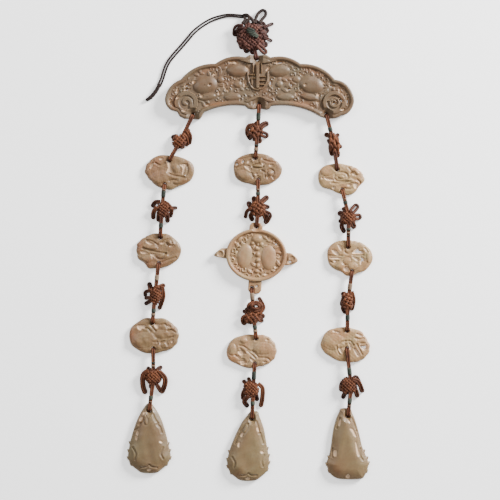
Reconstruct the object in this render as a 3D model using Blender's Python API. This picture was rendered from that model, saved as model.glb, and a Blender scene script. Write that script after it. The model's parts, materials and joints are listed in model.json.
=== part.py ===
"""A carved jade hanging ornament strung on knotted silk cord, lying flat on its back.

A cloud-shaped openwork plaque carries three strands. Each strand is a row of flat carved jades
tied together by knotted cords. X is the wearer's right, Y runs up the ornament and Z is the
front. Carving is given on each piece's own grid, a share of that piece's width and height.
"""
import math

import bmesh
import bpy
from mathutils import Matrix, Vector
from mathutils.geometry import delaunay_2d_cdt

# The plaque
PLAQUE_WIDTH = 0.1512
PLAQUE_HEIGHT = 0.0516
PLAQUE_THICKNESS = 0.0075
PLAQUE_GROUND = 0.0045
RIM_WIDTH = 0.0022
EDGE_ROUND = 0.0010

# The smaller jades
OVAL_THICKNESS = 0.0050
MEDALLION_WIDTH = 0.0485
MEDALLION_HEIGHT = 0.0421
MEDALLION_THICKNESS = 0.0065
MEDALLION_GROUND = 0.0040
MEDALLION_RIM = 0.0026
DROP_THICKNESS = 0.0075
LAND_THICKNESS = 0.0034

# The silk
CORD_DIAMETER = 0.0016
LINK_DIAMETER = 0.0026
LINK_PLAY = 0.0005
KNOT_HALF_LENGTH = 0.0095
KNOT_THICKNESS = 0.0075
LOOP_THICKNESS = 0.0030
TOP_KNOT_WIDTH = 0.0288
TOP_KNOT_THICKNESS = 0.0095
TIP_DIAMETER = 0.0034
CLEARANCE = 0.0003

HOLE_SIDES = 6
HOLE_RADIUS = LINK_DIAMETER / 2 + LINK_PLAY
LINK_LEVEL = LAND_THICKNESS + CLEARANCE + LINK_DIAMETER / 2
LAND_HALF_WIDTH = HOLE_RADIUS + LINK_PLAY
LAND_SLOPE = 1.2
MERGE = 0.00002
BACK_FLATNESS = math.radians(0.05)

JADE_GREY = (0.27, 0.21, 0.155, 1.0)
JADE_WARM = (0.42, 0.30, 0.205, 1.0)
JADE_OLIVE = (0.30, 0.225, 0.145, 1.0)
SILK_BROWN = (0.17, 0.095, 0.062, 1.0)

MATERIALS = {}


def material(name, colour, roughness):
    if name not in MATERIALS:
        made = bpy.data.materials.new(name)
        made.use_nodes = True
        shader = made.node_tree.nodes["Principled BSDF"]
        shader.inputs["Base Color"].default_value = colour
        shader.inputs["Roughness"].default_value = roughness
        shader.inputs["Metallic"].default_value = 0.0
        MATERIALS[name] = made
    return MATERIALS[name]


# Plane geometry

def ellipse(x, y, half_length, half_width, turn=0.0, count=8, phase=0.0):
    """Points round an ellipse, its long axis turned from +X by the given degrees."""
    c, s = math.cos(math.radians(turn)), math.sin(math.radians(turn))
    points = []
    for i in range(count):
        a = 2 * math.pi * (i + phase) / count
        u, v = half_length * math.cos(a), half_width * math.sin(a)
        points.append(Vector((x + u * c - v * s, y + u * s + v * c)))
    return points


def arc(start, end, sagitta, count):
    """Points from start up to but not including end, bulging to the left of the way."""
    start, end = Vector(start), Vector(end)
    chord = end - start
    side = Vector((-chord.y, chord.x)).normalized()
    points = []
    for i in range(count):
        t = i / count
        points.append(start + chord * t + side * sagitta * 4 * t * (1 - t))
    return points


def smooth_closed(points, steps):
    """A Catmull-Rom curve through the points, with the given steps in each span."""
    count = len(points)
    curve = []
    for i in range(count):
        a, b, c, d = (points[(i + k) % count] for k in (-1, 0, 1, 2))
        for k in range(steps):
            curve.append(catmull(a, b, c, d, k / steps))
    return curve


def catmull(a, b, c, d, t):
    return 0.5 * (2 * b + (c - a) * t + (2 * a - 5 * b + 4 * c - d) * t ** 2
                  + (3 * b - a - 3 * c + d) * t ** 3)


def smooth_open(points, spacing):
    """Points about one spacing apart on a smooth curve through the given points."""
    padded = [2 * points[0] - points[1]] + points + [2 * points[-1] - points[-2]]
    fine = []
    for i in range(1, len(padded) - 2):
        fine += [catmull(*padded[i - 1:i + 3], k / 12) for k in range(12)]
    fine.append(points[-1])
    lengths = [0.0]
    for a, b in zip(fine, fine[1:]):
        lengths.append(lengths[-1] + (b - a).length)
    count = max(2, round(lengths[-1] / spacing))
    picked = []
    at = 0
    for i in range(count + 1):
        want = lengths[-1] * i / count
        while at < len(fine) - 2 and lengths[at + 1] < want:
            at += 1
        t = (want - lengths[at]) / (lengths[at + 1] - lengths[at])
        picked.append(fine[at].lerp(fine[at + 1], min(t, 1.0)))
    return picked


def inside(point, loop):
    crossings = False
    for a, b in zip(loop, loop[1:] + loop[:1]):
        if (a.y > point.y) != (b.y > point.y):
            if point.x < a.x + (point.y - a.y) * (b.x - a.x) / (b.y - a.y):
                crossings = not crossings
    return crossings


def off_segment(point, a, b):
    along = b - a
    t = (point - a).dot(along) / max(along.length_squared, 1e-18)
    return (point - a - along * min(max(t, 0.0), 1.0)).length


def off_loop(point, loop):
    return min(off_segment(point, a, b) for a, b in zip(loop, loop[1:] + loop[:1]))


def inset_ring(loop, inset):
    """Chains of points one inset inside a loop that runs anticlockwise."""
    count = len(loop)
    chains = [[]]
    for i in range(count + 1):
        a, b, c = loop[(i - 1) % count], loop[i % count], loop[(i + 1) % count]
        along = (c - a).normalized()
        point = b + Vector((-along.y, along.x)) * inset
        if inside(point, loop) and off_loop(point, loop) > 0.8 * inset:
            chains[-1].append(point)
        elif chains[-1]:
            chains.append([])
    return [chain for chain in chains if len(chain) > 1]


def pad_share(x, y, pad):
    """1 at the middle of an elliptical pad, 0 at its edge and outside."""
    centre_x, centre_y, half_length, half_width, turn = pad
    c, s = math.cos(math.radians(turn)), math.sin(math.radians(turn))
    u = ((x - centre_x) * c + (y - centre_y) * s) / half_length
    v = (-(x - centre_x) * s + (y - centre_y) * c) / half_width
    return max(0.0, 1 - u * u - v * v)


# Solids

class Carving:
    """A flat-backed solid: where it is solid in plan, and how high its front is everywhere."""

    def __init__(self, outlines, height):
        self.outlines = outlines
        self.height = height
        self.openings = []
        self.creases = []

    def open_at(self, loops):
        self.openings += loops

    def crease_loop(self, loop):
        self.creases.append(loop + loop[:1])

    def crease_line(self, points):
        self.creases.append(points)

    def mesh(self, name):
        points, edges = [], []
        for loop in self.outlines + self.openings:
            first = len(points)
            points += loop
            edges += [(first + i, first + (i + 1) % len(loop)) for i in range(len(loop))]
        for line in self.creases:
            first = len(points)
            points += line
            edges += [(first + i, first + i + 1) for i in range(len(line) - 1)]
        flat, kept = self.solid_triangles(points, edges)
        if len(self.outlines) > 1:
            border = border_edges(kept)
            used = sorted({i for edge in border for i in edge})
            place_of = {i: k for k, i in enumerate(used)}
            points = [flat[i] for i in used]
            edges = [(place_of[i], place_of[j]) for i, j in border]
            for line in self.creases:
                first = len(points)
                points += line
                edges += [(first + i, first + i + 1) for i in range(len(line) - 1)]
            flat, kept = self.solid_triangles(points, edges)
        return solid_between(name, flat, kept, self.height)

    def solid_triangles(self, points, edges):
        """The triangles of the plan that lie in an outline and in no opening."""
        flat, _, triangles, _, _, _ = delaunay_2d_cdt(points, edges, [], 0, MERGE)
        kept = []
        for triangle in triangles:
            middle = sum((flat[i] for i in triangle), Vector((0, 0))) / 3
            if any(inside(middle, loop) for loop in self.outlines):
                if not any(inside(middle, loop) for loop in self.openings):
                    kept.append(triangle)
        return flat, kept


def border_edges(triangles):
    """The edges that only one triangle uses."""
    once = {}
    for triangle in triangles:
        corners = list(triangle)
        for i, j in zip(corners, corners[1:] + corners[:1]):
            key = (min(i, j), max(i, j))
            once[key] = once.get(key, 0) + 1
    return [edge for edge, uses in once.items() if uses == 1]


def solid_between(name, flat, triangles, height):
    """Closes a triangulated plan into a solid from the flat back up to the carved front."""
    shape = bmesh.new()
    front, back = {}, {}
    for i in sorted({i for triangle in triangles for i in triangle}):
        point = flat[i]
        front[i] = shape.verts.new((point.x, point.y, height(point.x, point.y)))
        back[i] = shape.verts.new((point.x, point.y, 0.0))
    border = {}
    for triangle in triangles:
        corners = list(triangle)
        a, b, c = (flat[i] for i in corners)
        if (b - a).cross(c - a) < 0:
            corners.reverse()
        shape.faces.new([front[i] for i in corners])
        for i, j in zip(corners, corners[1:] + corners[:1]):
            if (j, i) in border:
                del border[(j, i)]
            else:
                border[(i, j)] = True
    back_faces = []
    for triangle in triangles:
        corners = list(triangle)
        a, b, c = (flat[i] for i in corners)
        if (b - a).cross(c - a) > 0:
            corners.reverse()
        back_faces.append(shape.faces.new([back[i] for i in corners]))
    for i, j in border:
        shape.faces.new((front[i], back[i], back[j]))
        shape.faces.new((front[i], back[j], front[j]))
    on_border = {back[i] for pair in border for i in pair}
    loose = [v for v in back.values() if v not in on_border]
    inner = [e for e in {e for f in back_faces for e in f.edges}
             if all(f.normal.z < -0.5 or f in back_faces for f in e.link_faces)]
    shape.normal_update()
    bmesh.ops.dissolve_limit(shape, angle_limit=BACK_FLATNESS, verts=loose, edges=inner)
    bmesh.ops.triangulate(shape, faces=[f for f in shape.faces if len(f.verts) > 3])
    data = bpy.data.meshes.new(name)
    shape.to_mesh(data)
    shape.free()
    return data


def rail(points, radius, sides):
    """A closed tube along a line of points."""
    shape = bmesh.new()
    rings = []
    for i, point in enumerate(points):
        before, after = points[max(i - 1, 0)], points[min(i + 1, len(points) - 1)]
        along = (after - before).normalized()
        side = along.cross(Vector((0, 0, 1)))
        if side.length < 0.05:
            side = (points[1] - points[0]).cross(Vector((0, 0, 1)))
        side.normalize()
        up = side.cross(along).normalized()
        ring = []
        for k in range(sides):
            a = 2 * math.pi * (k + 0.5) / sides
            ring.append(shape.verts.new(point + (side * math.cos(a) + up * math.sin(a)) * radius))
        rings.append(ring)
    for ring, following in zip(rings, rings[1:]):
        for k in range(sides):
            n = (k + 1) % sides
            shape.faces.new((ring[k], ring[n], following[n], following[k]))
    shape.faces.new(rings[0][::-1])
    shape.faces.new(rings[-1])
    bmesh.ops.recalc_face_normals(shape, faces=shape.faces)
    data = bpy.data.meshes.new("rail")
    shape.to_mesh(data)
    shape.free()
    return data


def place(name, data, at, turn, finish):
    """Puts a mesh in the scene, moved and turned about Z by the given degrees."""
    piece = bpy.data.objects.new(name, data)
    piece.data.materials.append(finish)
    piece.location = (at.x, at.y, 0.0)
    piece.rotation_euler = (0.0, 0.0, math.radians(turn))
    bpy.context.collection.objects.link(piece)
    return piece


def lower_to_land(carving_height, lands):
    """Thins the jade to the land where a cord crosses its edge on the way to a hole."""
    def height(x, y):
        level = carving_height(x, y)
        for start, end in lands:
            away = off_segment(Vector((x, y)), start, end) - LAND_HALF_WIDTH
            level = min(level, LAND_THICKNESS + LAND_SLOPE * max(away, 0.0))
        return level
    return height


def cut_hole(carving, hole, way_out):
    """A cord hole, with the edges of the land that leads from it out over the rim."""
    carving.open_at([ellipse(hole.x, hole.y, HOLE_RADIUS, HOLE_RADIUS, 0, HOLE_SIDES)])
    side = Vector((-way_out.y, way_out.x)).normalized() * LAND_HALF_WIDTH
    back = way_out.normalized() * -LAND_HALF_WIDTH
    carving.crease_line([hole + way_out + side, hole + side, hole + back,
                         hole - side, hole + way_out - side])


# The plaque: its outline on a grid 189 wide, run anticlockwise as arcs (end, sagitta, steps)
PLAQUE_GRID = (189.0, 64.5)
PLAQUE_START = (55.0, -6.9)
PLAQUE_RIGHT_ARCS = (
    ((62.2, -10.9), 0.0, 1), ((69.2, -12.9), 0.0, 1), ((75.5, -12.8), 0.0, 1),
    ((83.2, -10.0), -0.6, 1), ((93.6, -3.2), -1.6, 2), ((94.0, 12.6), -2.2, 3),
    ((76.9, 25.8), -3.2, 3), ((42.5, 41.6), -4.7, 5), ((12.5, 48.0), -3.6, 4),
    ((8.8, 50.3), 0.0, 1),
)
PLAQUE_LEFT_ARCS = (
    ((-8.8, 50.3), 0.0, 1), ((-12.5, 48.0), 0.0, 1), ((-42.7, 41.7), -3.6, 4),
    ((-77.0, 26.0), -4.7, 5), ((-93.0, 6.7), -3.6, 3), ((-87.2, -4.4), -1.8, 2),
    ((-81.0, -6.2), 0.0, 1), ((-78.6, -10.6), 0.0, 1), ((-73.9, -13.1), 0.0, 1),
    ((-67.8, -13.0), 0.0, 1), ((-59.5, -14.1), 0.0, 1), ((-56.0, -10.4), -0.6, 1),
    ((-54.1, -6.8), 0.0, 1), ((-13.0, -0.3), 3.1, 5),
)
PLAQUE_LUG_ARCS = (
    ((-10.4, -3.0), 0.0, 1), ((-6.3, -3.9), 0.0, 1), ((2.4, -2.8), 0.0, 1),
    ((8.6, -4.3), 0.0, 1), ((11.8, -2.8), 0.0, 1), ((13.0, -0.4), 0.0, 1),
    ((55.0, -6.9), 3.1, 5),
)

# Raised fields (x, y, half length, half width, turn, rise above the ground), one side
PLAQUE_FIELDS = (
    (20.6, 34.4, 11.0, 6.6, 4, 0.0026), (53.0, 20.4, 12.6, 9.0, -12, 0.0028),
    (51.0, 8.0, 9.5, 3.6, -8, 0.0018), (26.0, 8.2, 9.0, 4.4, 0, 0.0020),
    (21.5, 21.0, 4.6, 4.6, 0, 0.0018), (37.6, 25.6, 4.2, 3.4, 0, 0.0016),
)
SCROLL_CENTRE = (74.5, 2.6)
SCROLL_RADIUS = 10.2
SCROLL_BAND = 2.6
SCROLL_RISE = 0.0024

# Openings right through (x, y, half length, half width, turn), one side
PLAQUE_OPENINGS = (
    (21.0, 42.6, 6.0, 1.1, 4), (10.6, 37.0, 2.6, 0.9, 50), (12.6, 22.0, 1.2, 3.2, 8),
    (29.8, 14.8, 2.2, 1.2, 30), (33.5, 20.0, 1.0, 2.6, -20), (43.4, 31.2, 2.2, 1.0, -35),
    (31.0, 30.0, 1.9, 0.9, -20), (65.0, 22.6, 1.7, 1.4, 60), (72.4, 18.6, 2.2, 1.1, -30),
    (81.6, 14.6, 1.1, 2.5, 0), (60.4, 10.2, 1.4, 1.2, 0), (39.4, 12.0, 1.4, 1.8, 0),
    (88.6, 4.0, 0.9, 3.2, 0), (79.2, 5.4, 2.0, 1.0, -35), (72.4, 2.4, 2.0, 0.9, 0),
    (78.6, -4.6, 1.8, 1.0, 15), (58.6, 2.2, 1.5, 1.1, 0), (37.5, 3.2, 2.2, 0.9, 8),
)
COLUMN = (0.0, 29.5, 2.3, 12.5)
ARCH = ((-14.0, 1.8), (-8.0, 5.6), (0.0, 8.0), (8.0, 5.6), (14.0, 1.8))
ARCH_BAND = 1.6
SWAG = ((-15.0, 46.6), (-8.0, 42.8), (0.0, 41.6), (8.0, 42.8), (15.0, 46.6))
BAND_RISE = 0.0026

# Cord holes on the same grid, and how far each lies in from the edge
FOOT_HOLES = {"left": (-65.0, -9.2), "centre": (1.2, 1.4), "right": (68.4, -9.0)}
CROWN_HOLE = (-1.1, 46.4)
LAND_REACH = 0.009


def plaque_point(u, v):
    return Vector((u * PLAQUE_WIDTH / PLAQUE_GRID[0], v * PLAQUE_HEIGHT / PLAQUE_GRID[1]))


def plaque_outline():
    outline = []
    start = plaque_point(*PLAQUE_START)
    for end, sagitta, steps in PLAQUE_RIGHT_ARCS + PLAQUE_LEFT_ARCS + PLAQUE_LUG_ARCS:
        end = plaque_point(*end)
        outline += arc(start, end, sagitta * PLAQUE_WIDTH / PLAQUE_GRID[0], steps)
        start = end
    return outline


def both_sides(rows):
    for row in rows:
        yield row
        mirrored = list(row)
        mirrored[0] = -row[0]
        mirrored[4] = -row[4]
        yield tuple(mirrored)


def grid_pad(row, scale_x, scale_y):
    return (row[0] * scale_x, row[1] * scale_y, row[2] * scale_x, row[3] * scale_y, row[4])


def slit(row, scale_x, scale_y):
    """An opening's plan: four points for a narrow slit, five for a rounder pit."""
    narrow = row[2] > 1.6 * row[3] or row[3] > 1.6 * row[2]
    return ellipse(*grid_pad(row, scale_x, scale_y), 4 if narrow else 5)


def add_pads(carving, pads, rings=(1.0, 0.6)):
    """Creases that let the triangles follow each raised or sunk pad."""
    for pad in pads:
        for share in rings:
            count = 8 if share == 1.0 else 5
            carving.crease_loop(ellipse(pad[0], pad[1], pad[2] * share, pad[3] * share,
                                        pad[4], count))


def top_plaque():
    sx, sy = PLAQUE_WIDTH / PLAQUE_GRID[0], PLAQUE_HEIGHT / PLAQUE_GRID[1]
    outline = plaque_outline()
    fields = [(grid_pad(row, sx, sy), row[5]) for row in both_sides(PLAQUE_FIELDS)]
    scrolls = [plaque_point(side * SCROLL_CENTRE[0], SCROLL_CENTRE[1]) for side in (1, -1)]
    bands = [[plaque_point(*p) for p in ARCH], [plaque_point(*p) for p in SWAG]]
    column = (COLUMN[0] * sx, COLUMN[1] * sy, COLUMN[2] * sx, COLUMN[3] * sy)

    def carved(x, y):
        point = Vector((x, y))
        level = PLAQUE_GROUND
        for pad, rise in fields:
            level = max(level, PLAQUE_GROUND + rise * pad_share(x, y, pad) ** 0.5)
        for centre in scrolls:
            away = abs((point - centre).length - SCROLL_RADIUS * sx) / (SCROLL_BAND * sx)
            level = max(level, PLAQUE_GROUND + SCROLL_RISE * max(0.0, 1 - away * away))
        for band in bands:
            away = min(off_segment(point, a, b) for a, b in zip(band, band[1:]))
            away /= ARCH_BAND * sx
            level = max(level, PLAQUE_GROUND + BAND_RISE * max(0.0, 1 - away * away))
        if abs(x - column[0]) < column[2] and abs(y - column[1]) < column[3]:
            level = max(level, PLAQUE_THICKNESS - EDGE_ROUND)
        rim = off_loop(point, outline) / RIM_WIDTH
        if rim < 0.95:
            level = max(level, PLAQUE_THICKNESS - EDGE_ROUND * max(0.0, 1 - 2 * rim))
        return level

    holes = {key: plaque_point(*at) for key, at in FOOT_HOLES.items()}
    crown = plaque_point(*CROWN_HOLE)
    lands = [(hole, hole + Vector((0, -LAND_REACH))) for hole in holes.values()]
    lands.append((crown, crown + Vector((0, LAND_REACH))))
    carving = Carving([outline], lower_to_land(carved, lands))
    for start, end in lands:
        cut_hole(carving, start, end - start)
    carving.open_at([slit(row, sx, sy) for row in both_sides(PLAQUE_OPENINGS)])
    for chain in inset_ring(outline, RIM_WIDTH):
        carving.crease_line(chain)
    add_pads(carving, [pad for pad, _ in fields], (1.0, 0.55))
    for centre in scrolls:
        for radius in (SCROLL_RADIUS - SCROLL_BAND, SCROLL_RADIUS, SCROLL_RADIUS + SCROLL_BAND):
            carving.crease_loop(ellipse(centre.x, centre.y, radius * sx, radius * sx, 0, 10))
    for band in bands:
        for side in (-1, 0, 1):
            shift = Vector((0, side * ARCH_BAND * sy))
            carving.crease_line([p + shift for p in band])
    for grow in (0.0, 0.0004):
        half_x, half_y = column[2] + grow, column[3] + grow
        carving.crease_loop([Vector((column[0] + a * half_x, column[1] + b * half_y))
                             for a, b in ((-1, -1), (1, -1), (1, 1), (-1, 1))])
    jade = material("jade_grey", JADE_GREY, 0.35)
    place("top_plaque", carving.mesh("top_plaque"), Vector((0, 0)), 0, jade)
    return holes, crown


# The ovals, each on its own grid: outline radii every 20 degrees, holes, openings and carving
OVALS = {
    "left_oval_1": {
        "width": 0.0406, "grid": 50.7,
        "radii": (25, 24.5, 21, 18.2, 17, 17.5, 19.5, 22, 24, 24.5, 21.5, 19, 18, 17.5, 17.5,
                  17, 19, 23),
        "holes": ((0, 11.6), (-4.8, -12.6)),
        "openings": ((-18, 7, 3.4, 0.9, 58), (-8, 13, 1.6, 0.8, 10), (-0.2, 4, 1.2, 3.6, 0),
                     (14, 3.6, 1.0, 4.4, 0)),
        "fields": ((-10, -4, 11, 7, 20, 0.0010), (7, 4, 4, 5, 0, 0.0008),
                   (12, -6.5, 8, 2.6, -8, -0.0010)),
    },
    "left_oval_2": {
        "width": 0.0365, "grid": 45.6,
        "radii": (22.5, 21.5, 20, 19, 17.8, 18, 18.5, 20.5, 22.5, 22.5, 22.2, 18.8, 20.5, 17.8,
                  17.5, 18, 19, 21.5),
        "holes": ((1.7, 13.2), (0, -12.6)),
        "openings": ((-9.5, 8.2, 2.4, 0.9, -15), (12.6, 4.0, 2.6, 0.9, 8), (-14, -0.6, 2.8, 0.8, -5),
                     (7.4, 7.2, 1.0, 1.0, 0)),
        "fields": ((-2, 1.8, 14, 3, -12, 0.0010), (4, -5, 6, 2.4, 8, 0.0010),
                   (12, -9.6, 6, 1.6, 35, -0.0010)),
    },
    "left_oval_3": {
        "width": 0.0400, "grid": 50.0,
        "radii": (25, 24, 21.5, 19.8, 18, 18, 20, 21.5, 24, 25, 24.5, 21.5, 20, 18, 18, 18.5,
                  21.5, 24.5),
        "holes": ((-1.3, 12.8), (-0.7, -13.0)),
        "openings": ((-11.4, 10.4, 3.4, 0.9, 4), (3.4, 11.2, 1.2, 1.0, 0), (17, 4.4, 2.4, 0.8, -20)),
        "fields": ((-9, -3, 13, 8, 10, 0.0012), (10, -8.6, 5, 4, 0, 0.0008),
                   (16, -3, 4, 1.2, 18, -0.0010)),
    },
    "centre_oval_1": {
        "width": 0.0391, "grid": 48.9,
        "radii": (24.5, 21.8, 19, 17, 16.4, 16.5, 18, 21, 23.8, 24, 23.2, 20, 17, 16.2, 16.5, 18,
                  20.2, 23.5),
        "holes": ((-2, 11.2), (0.5, -10.6)),
        "openings": ((-20.6, 5, 1.2, 1.2, 0), (-14.6, 7.8, 1.7, 1.2, -20), (5.6, 6.0, 1.4, 1.2, -30),
                     (-9.6, 0.6, 3.4, 1.5, -45), (13.4, 4.8, 1.7, 1.0, 0), (0, -5, 1.3, 0.9, 0)),
        "fields": ((-14, -5, 8, 5.6, -20, 0.0012), (12.6, -4.4, 4.4, 4.6, 0, 0.0010),
                   (2.6, 2.4, 6, 1.8, -5, 0.0010)),
    },
    "centre_oval_2": {
        "width": 0.0408, "grid": 51.0,
        "radii": (25.5, 25, 22.6, 19, 17, 16.8, 18, 21, 23.2, 25, 24, 19.8, 18, 17.2, 17.2, 18,
                  21, 24.5),
        "holes": ((4.9, 12.4), (3.3, -12.6)),
        "openings": ((-8, 0.6, 4.0, 1.1, -45), (1.4, -8.6, 3.2, 1.2, -42), (-7.6, -12.4, 2.4, 1.1, -35),
                     (15.6, 11.2, 1.5, 0.9, 0), (11, -8.2, 3.2, 0.8, -8)),
        "fields": ((12, 1.5, 11, 8, 0, 0.0012), (-16.5, 3, 7, 8, 20, 0.0010),
                   (-3.2, 1.2, 7, 1.4, -45, 0.0009)),
    },
    "right_oval_1": {
        "width": 0.0380, "grid": 47.5,
        "radii": (23.5, 22, 19, 16.6, 16, 16.5, 18.5, 21.5, 23.5, 23, 20.5, 15.2, 13.6, 13.8,
                  15.8, 17.5, 19, 19.5),
        "holes": ((-4, 10), (1, -10.2)),
        "openings": ((-13.6, 0.4, 3.0, 1.0, -22), (-19.6, 1.2, 1.4, 0.8, 0), (8.8, -4.8, 2.0, 1.0, 8),
                     (14.6, -4.6, 1.4, 2.6, -15), (-8.4, -7.8, 1.4, 1.0, 0)),
        "fields": ((-12, 8, 9, 5, 15, 0.0012), (0, 2.6, 6, 3.6, 0, 0.0010),
                   (12, 6, 6, 5, -20, 0.0009)),
    },
    "right_oval_2": {
        "width": 0.0370, "grid": 46.3,
        "radii": (23, 22.5, 20, 19, 18, 18.4, 20.5, 22.5, 23.6, 22.5, 21, 18.6, 16.2, 18, 18,
                  17, 20, 21.5),
        "holes": ((-1.8, 10.8), (2.0, -13.4)),
        "openings": ((-9.6, 10.6, 3.0, 1.0, -55), (-14.2, 5.8, 2.8, 1.3, -30),
                     (-15.4, -1.4, 4.4, 0.9, 2), (7.6, 6.2, 4.8, 1.5, 0), (5.6, -0.8, 3.2, 0.9, -24),
                     (12.6, -3.0, 1.4, 3.2, 15), (-4.2, -11.8, 1.9, 1.9, 0)),
        "fields": ((4, -7, 7, 5, 0, 0.0012), (-9, -7, 6, 4, 20, 0.0010),
                   (18, 2, 3, 8, 0, 0.0010)),
    },
    "right_oval_3": {
        "width": 0.0399, "grid": 49.9,
        "radii": (25, 22.5, 21, 18.6, 18, 18, 19.5, 22, 23.6, 24.5, 22, 19, 17.5, 17, 17.5, 20.2,
                  23.4, 25.2),
        "holes": ((2.2, 14.0), (1.8, -3.6)),
        "openings": ((-8.4, 12.8, 2.8, 0.8, -18), (14.6, 9.2, 3.6, 0.8, -25), (19.0, -1.8, 2.9, 2.1, 15),
                     (12.8, -8.6, 4.6, 1.1, -50), (-4.6, -7.0, 2.3, 0.8, -48)),
        "fields": ((-11, 2, 11, 8, 10, 0.0012), (7.5, 2.0, 3.0, 5.0, -10, 0.0008),
                   (10, 5.6, 8, 1.8, -12, 0.0008)),
    },
}


def edge_rolled(outline, edge, inner, roll):
    """The height over a rounded edge: low at the outline, full one roll in from it."""
    def height(x, y):
        share = min(off_loop(Vector((x, y)), outline) / roll, 1.0)
        return edge + (inner - edge) * math.sin(share * math.pi / 2)
    return height


OVAL_ROLL = 0.0035
OVAL_EDGE_SHARE = 0.62
OVAL_STEPS = 5
OVAL_STRIDE = 4


def oval(name, hole_at, lean):
    """Hangs an oval by its top hole and returns where its bottom hole comes."""
    spec = OVALS[name]
    scale = spec["width"] / spec["grid"]
    ring = [Vector((r * math.cos(math.radians(20 * i)), r * math.sin(math.radians(20 * i)))) * scale
            for i, r in enumerate(spec["radii"])]
    outline = smooth_closed(ring, OVAL_STEPS)[::OVAL_STRIDE]
    fields = [(grid_pad(row, scale, scale), row[5]) for row in spec["fields"]]
    rolled = edge_rolled(outline, OVAL_THICKNESS * OVAL_EDGE_SHARE,
                         OVAL_THICKNESS - 0.0010, OVAL_ROLL)

    def carved(x, y):
        return rolled(x, y) + sum(rise * pad_share(x, y, pad) for pad, rise in fields)

    top, bottom = (Vector(at) * scale for at in spec["holes"])
    lands = [(top, top + Vector((0, LAND_REACH))), (bottom, bottom - Vector((0, 2 * LAND_REACH)))]
    carving = Carving([outline], lower_to_land(carved, lands))
    for start, end in lands:
        cut_hole(carving, start, end - start)
    carving.open_at([slit(row, scale, scale) for row in spec["openings"]])
    for chain in inset_ring(outline[::2], OVAL_ROLL):
        carving.crease_line(chain)
    add_pads(carving, [pad for pad, _ in fields], (0.8,))
    jade = material("jade_warm", JADE_WARM, 0.35)
    turned = Matrix.Rotation(math.radians(lean), 2)
    centre = hole_at - turned @ top
    place(name, carving.mesh(name), centre, lean, jade)
    return centre + turned @ bottom


# The medallion on a grid as wide as its rim
MEDALLION_GRID = 60.6
MEDALLION_TURN = -3.7
MEDALLION_LUGS = ((-2.0, 33.0, 1), (0.6, 39.0, -1))
MEDALLION_LUG_HALF = 6.7
MEDALLION_EARS = ((-42.3, -2.6, -30.0, 5.0, -4.6), (41.8, -2.6, 30.0, 4.4, -7.2))
MEDALLION_HOLES = ((-1.6, 28.4), (-2.4, -33.4))
MEDALLION_FIELDS = (
    (-11.5, -0.8, 6.6, 11.6, -6, 0.0020), (12.4, -1.6, 6.8, 12.2, 4, 0.0020),
    (-0.6, 15.8, 6.8, 5.6, 0, 0.0022), (1.6, -4.6, 3.4, 14.0, 0, 0.0024),
)
MEDALLION_OPENINGS = (
    (-20.5, 12.5, 1.5, 1.0, 50), (-14.0, 17.6, 1.8, 1.0, 35), (11.6, 17.2, 2.0, 1.0, -30),
    (19.0, 12.0, 1.4, 1.1, 0), (-21.6, -3.6, 1.6, 1.0, -40), (-17.2, -12.4, 1.6, 1.0, -50),
    (22.2, 0.6, 1.0, 1.4, 0), (20.4, -10.6, 1.2, 1.2, 0), (-5.4, -19.4, 1.2, 0.9, 0),
    (10.0, -18.2, 1.4, 0.9, 0), (1.5, 8.6, 1.4, 0.9, 20), (34.0, -4.6, 1.9, 1.6, 0),
    (2.4, -31.0, 1.3, 1.0, 0),
)


def medallion_outline(scale):
    half_x, half_y = MEDALLION_WIDTH / 2, MEDALLION_HEIGHT / 2
    loop = ellipse(0, 0, half_x, half_y, 0, 30)
    base = half_y / scale
    half = MEDALLION_LUG_HALF
    lugs = []
    for middle, tip, sign in MEDALLION_LUGS:
        lug = [(-half, base - 4), (-half, tip - 4), (-0.7 * half, tip - 1), (0, tip),
               (0.7 * half, tip - 1), (half, tip - 4), (half, base - 4)]
        lugs.append([Vector((middle + u, sign * v)) * scale for u, v in lug])
    for tip_x, tip_y, root_x, high, low in MEDALLION_EARS:
        points = [(root_x * 0.9, high), (root_x * 1.04, high), ((tip_x + root_x) / 2, high * 0.8),
                  (tip_x, tip_y), ((tip_x + root_x) / 2, low * 1.02), (root_x * 0.9, low)]
        lugs.append([Vector(p) * scale for p in points])
    return loop, lugs


def medallion(hole_at):
    scale = MEDALLION_WIDTH / MEDALLION_GRID
    loop, lugs = medallion_outline(scale)
    fields = [(grid_pad(row, scale, scale), row[5]) for row in MEDALLION_FIELDS]

    def carved(x, y):
        point = Vector((x, y))
        if not inside(point, loop):
            return MEDALLION_GROUND
        level = MEDALLION_GROUND
        for pad, rise in fields:
            level = max(level, MEDALLION_GROUND + rise * pad_share(x, y, pad) ** 0.5)
        rim = off_loop(point, loop) / MEDALLION_RIM
        if rim < 0.95:
            level = max(level, MEDALLION_THICKNESS - EDGE_ROUND * max(0.0, 1 - 2 * rim))
        return level

    top, bottom = (Vector(at) * scale for at in MEDALLION_HOLES)
    lands = [(top, top + Vector((0, LAND_REACH))), (bottom, bottom - Vector((0, LAND_REACH)))]
    carving = Carving([loop] + lugs, lower_to_land(carved, lands))
    for start, end in lands:
        cut_hole(carving, start, end - start)
    carving.open_at([slit(row, scale, scale) for row in MEDALLION_OPENINGS])
    carving.crease_loop(ellipse(0, 0, MEDALLION_WIDTH / 2 - MEDALLION_RIM,
                                MEDALLION_HEIGHT / 2 - MEDALLION_RIM, 0, 24))
    add_pads(carving, [pad for pad, _ in fields], (1.0, 0.6))
    jade = material("jade_warm", JADE_WARM, 0.35)
    turned = Matrix.Rotation(math.radians(MEDALLION_TURN), 2)
    centre = hole_at - turned @ top
    place("medallion", carving.mesh("medallion"), centre, MEDALLION_TURN, jade)
    return centre + turned @ bottom


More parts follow.
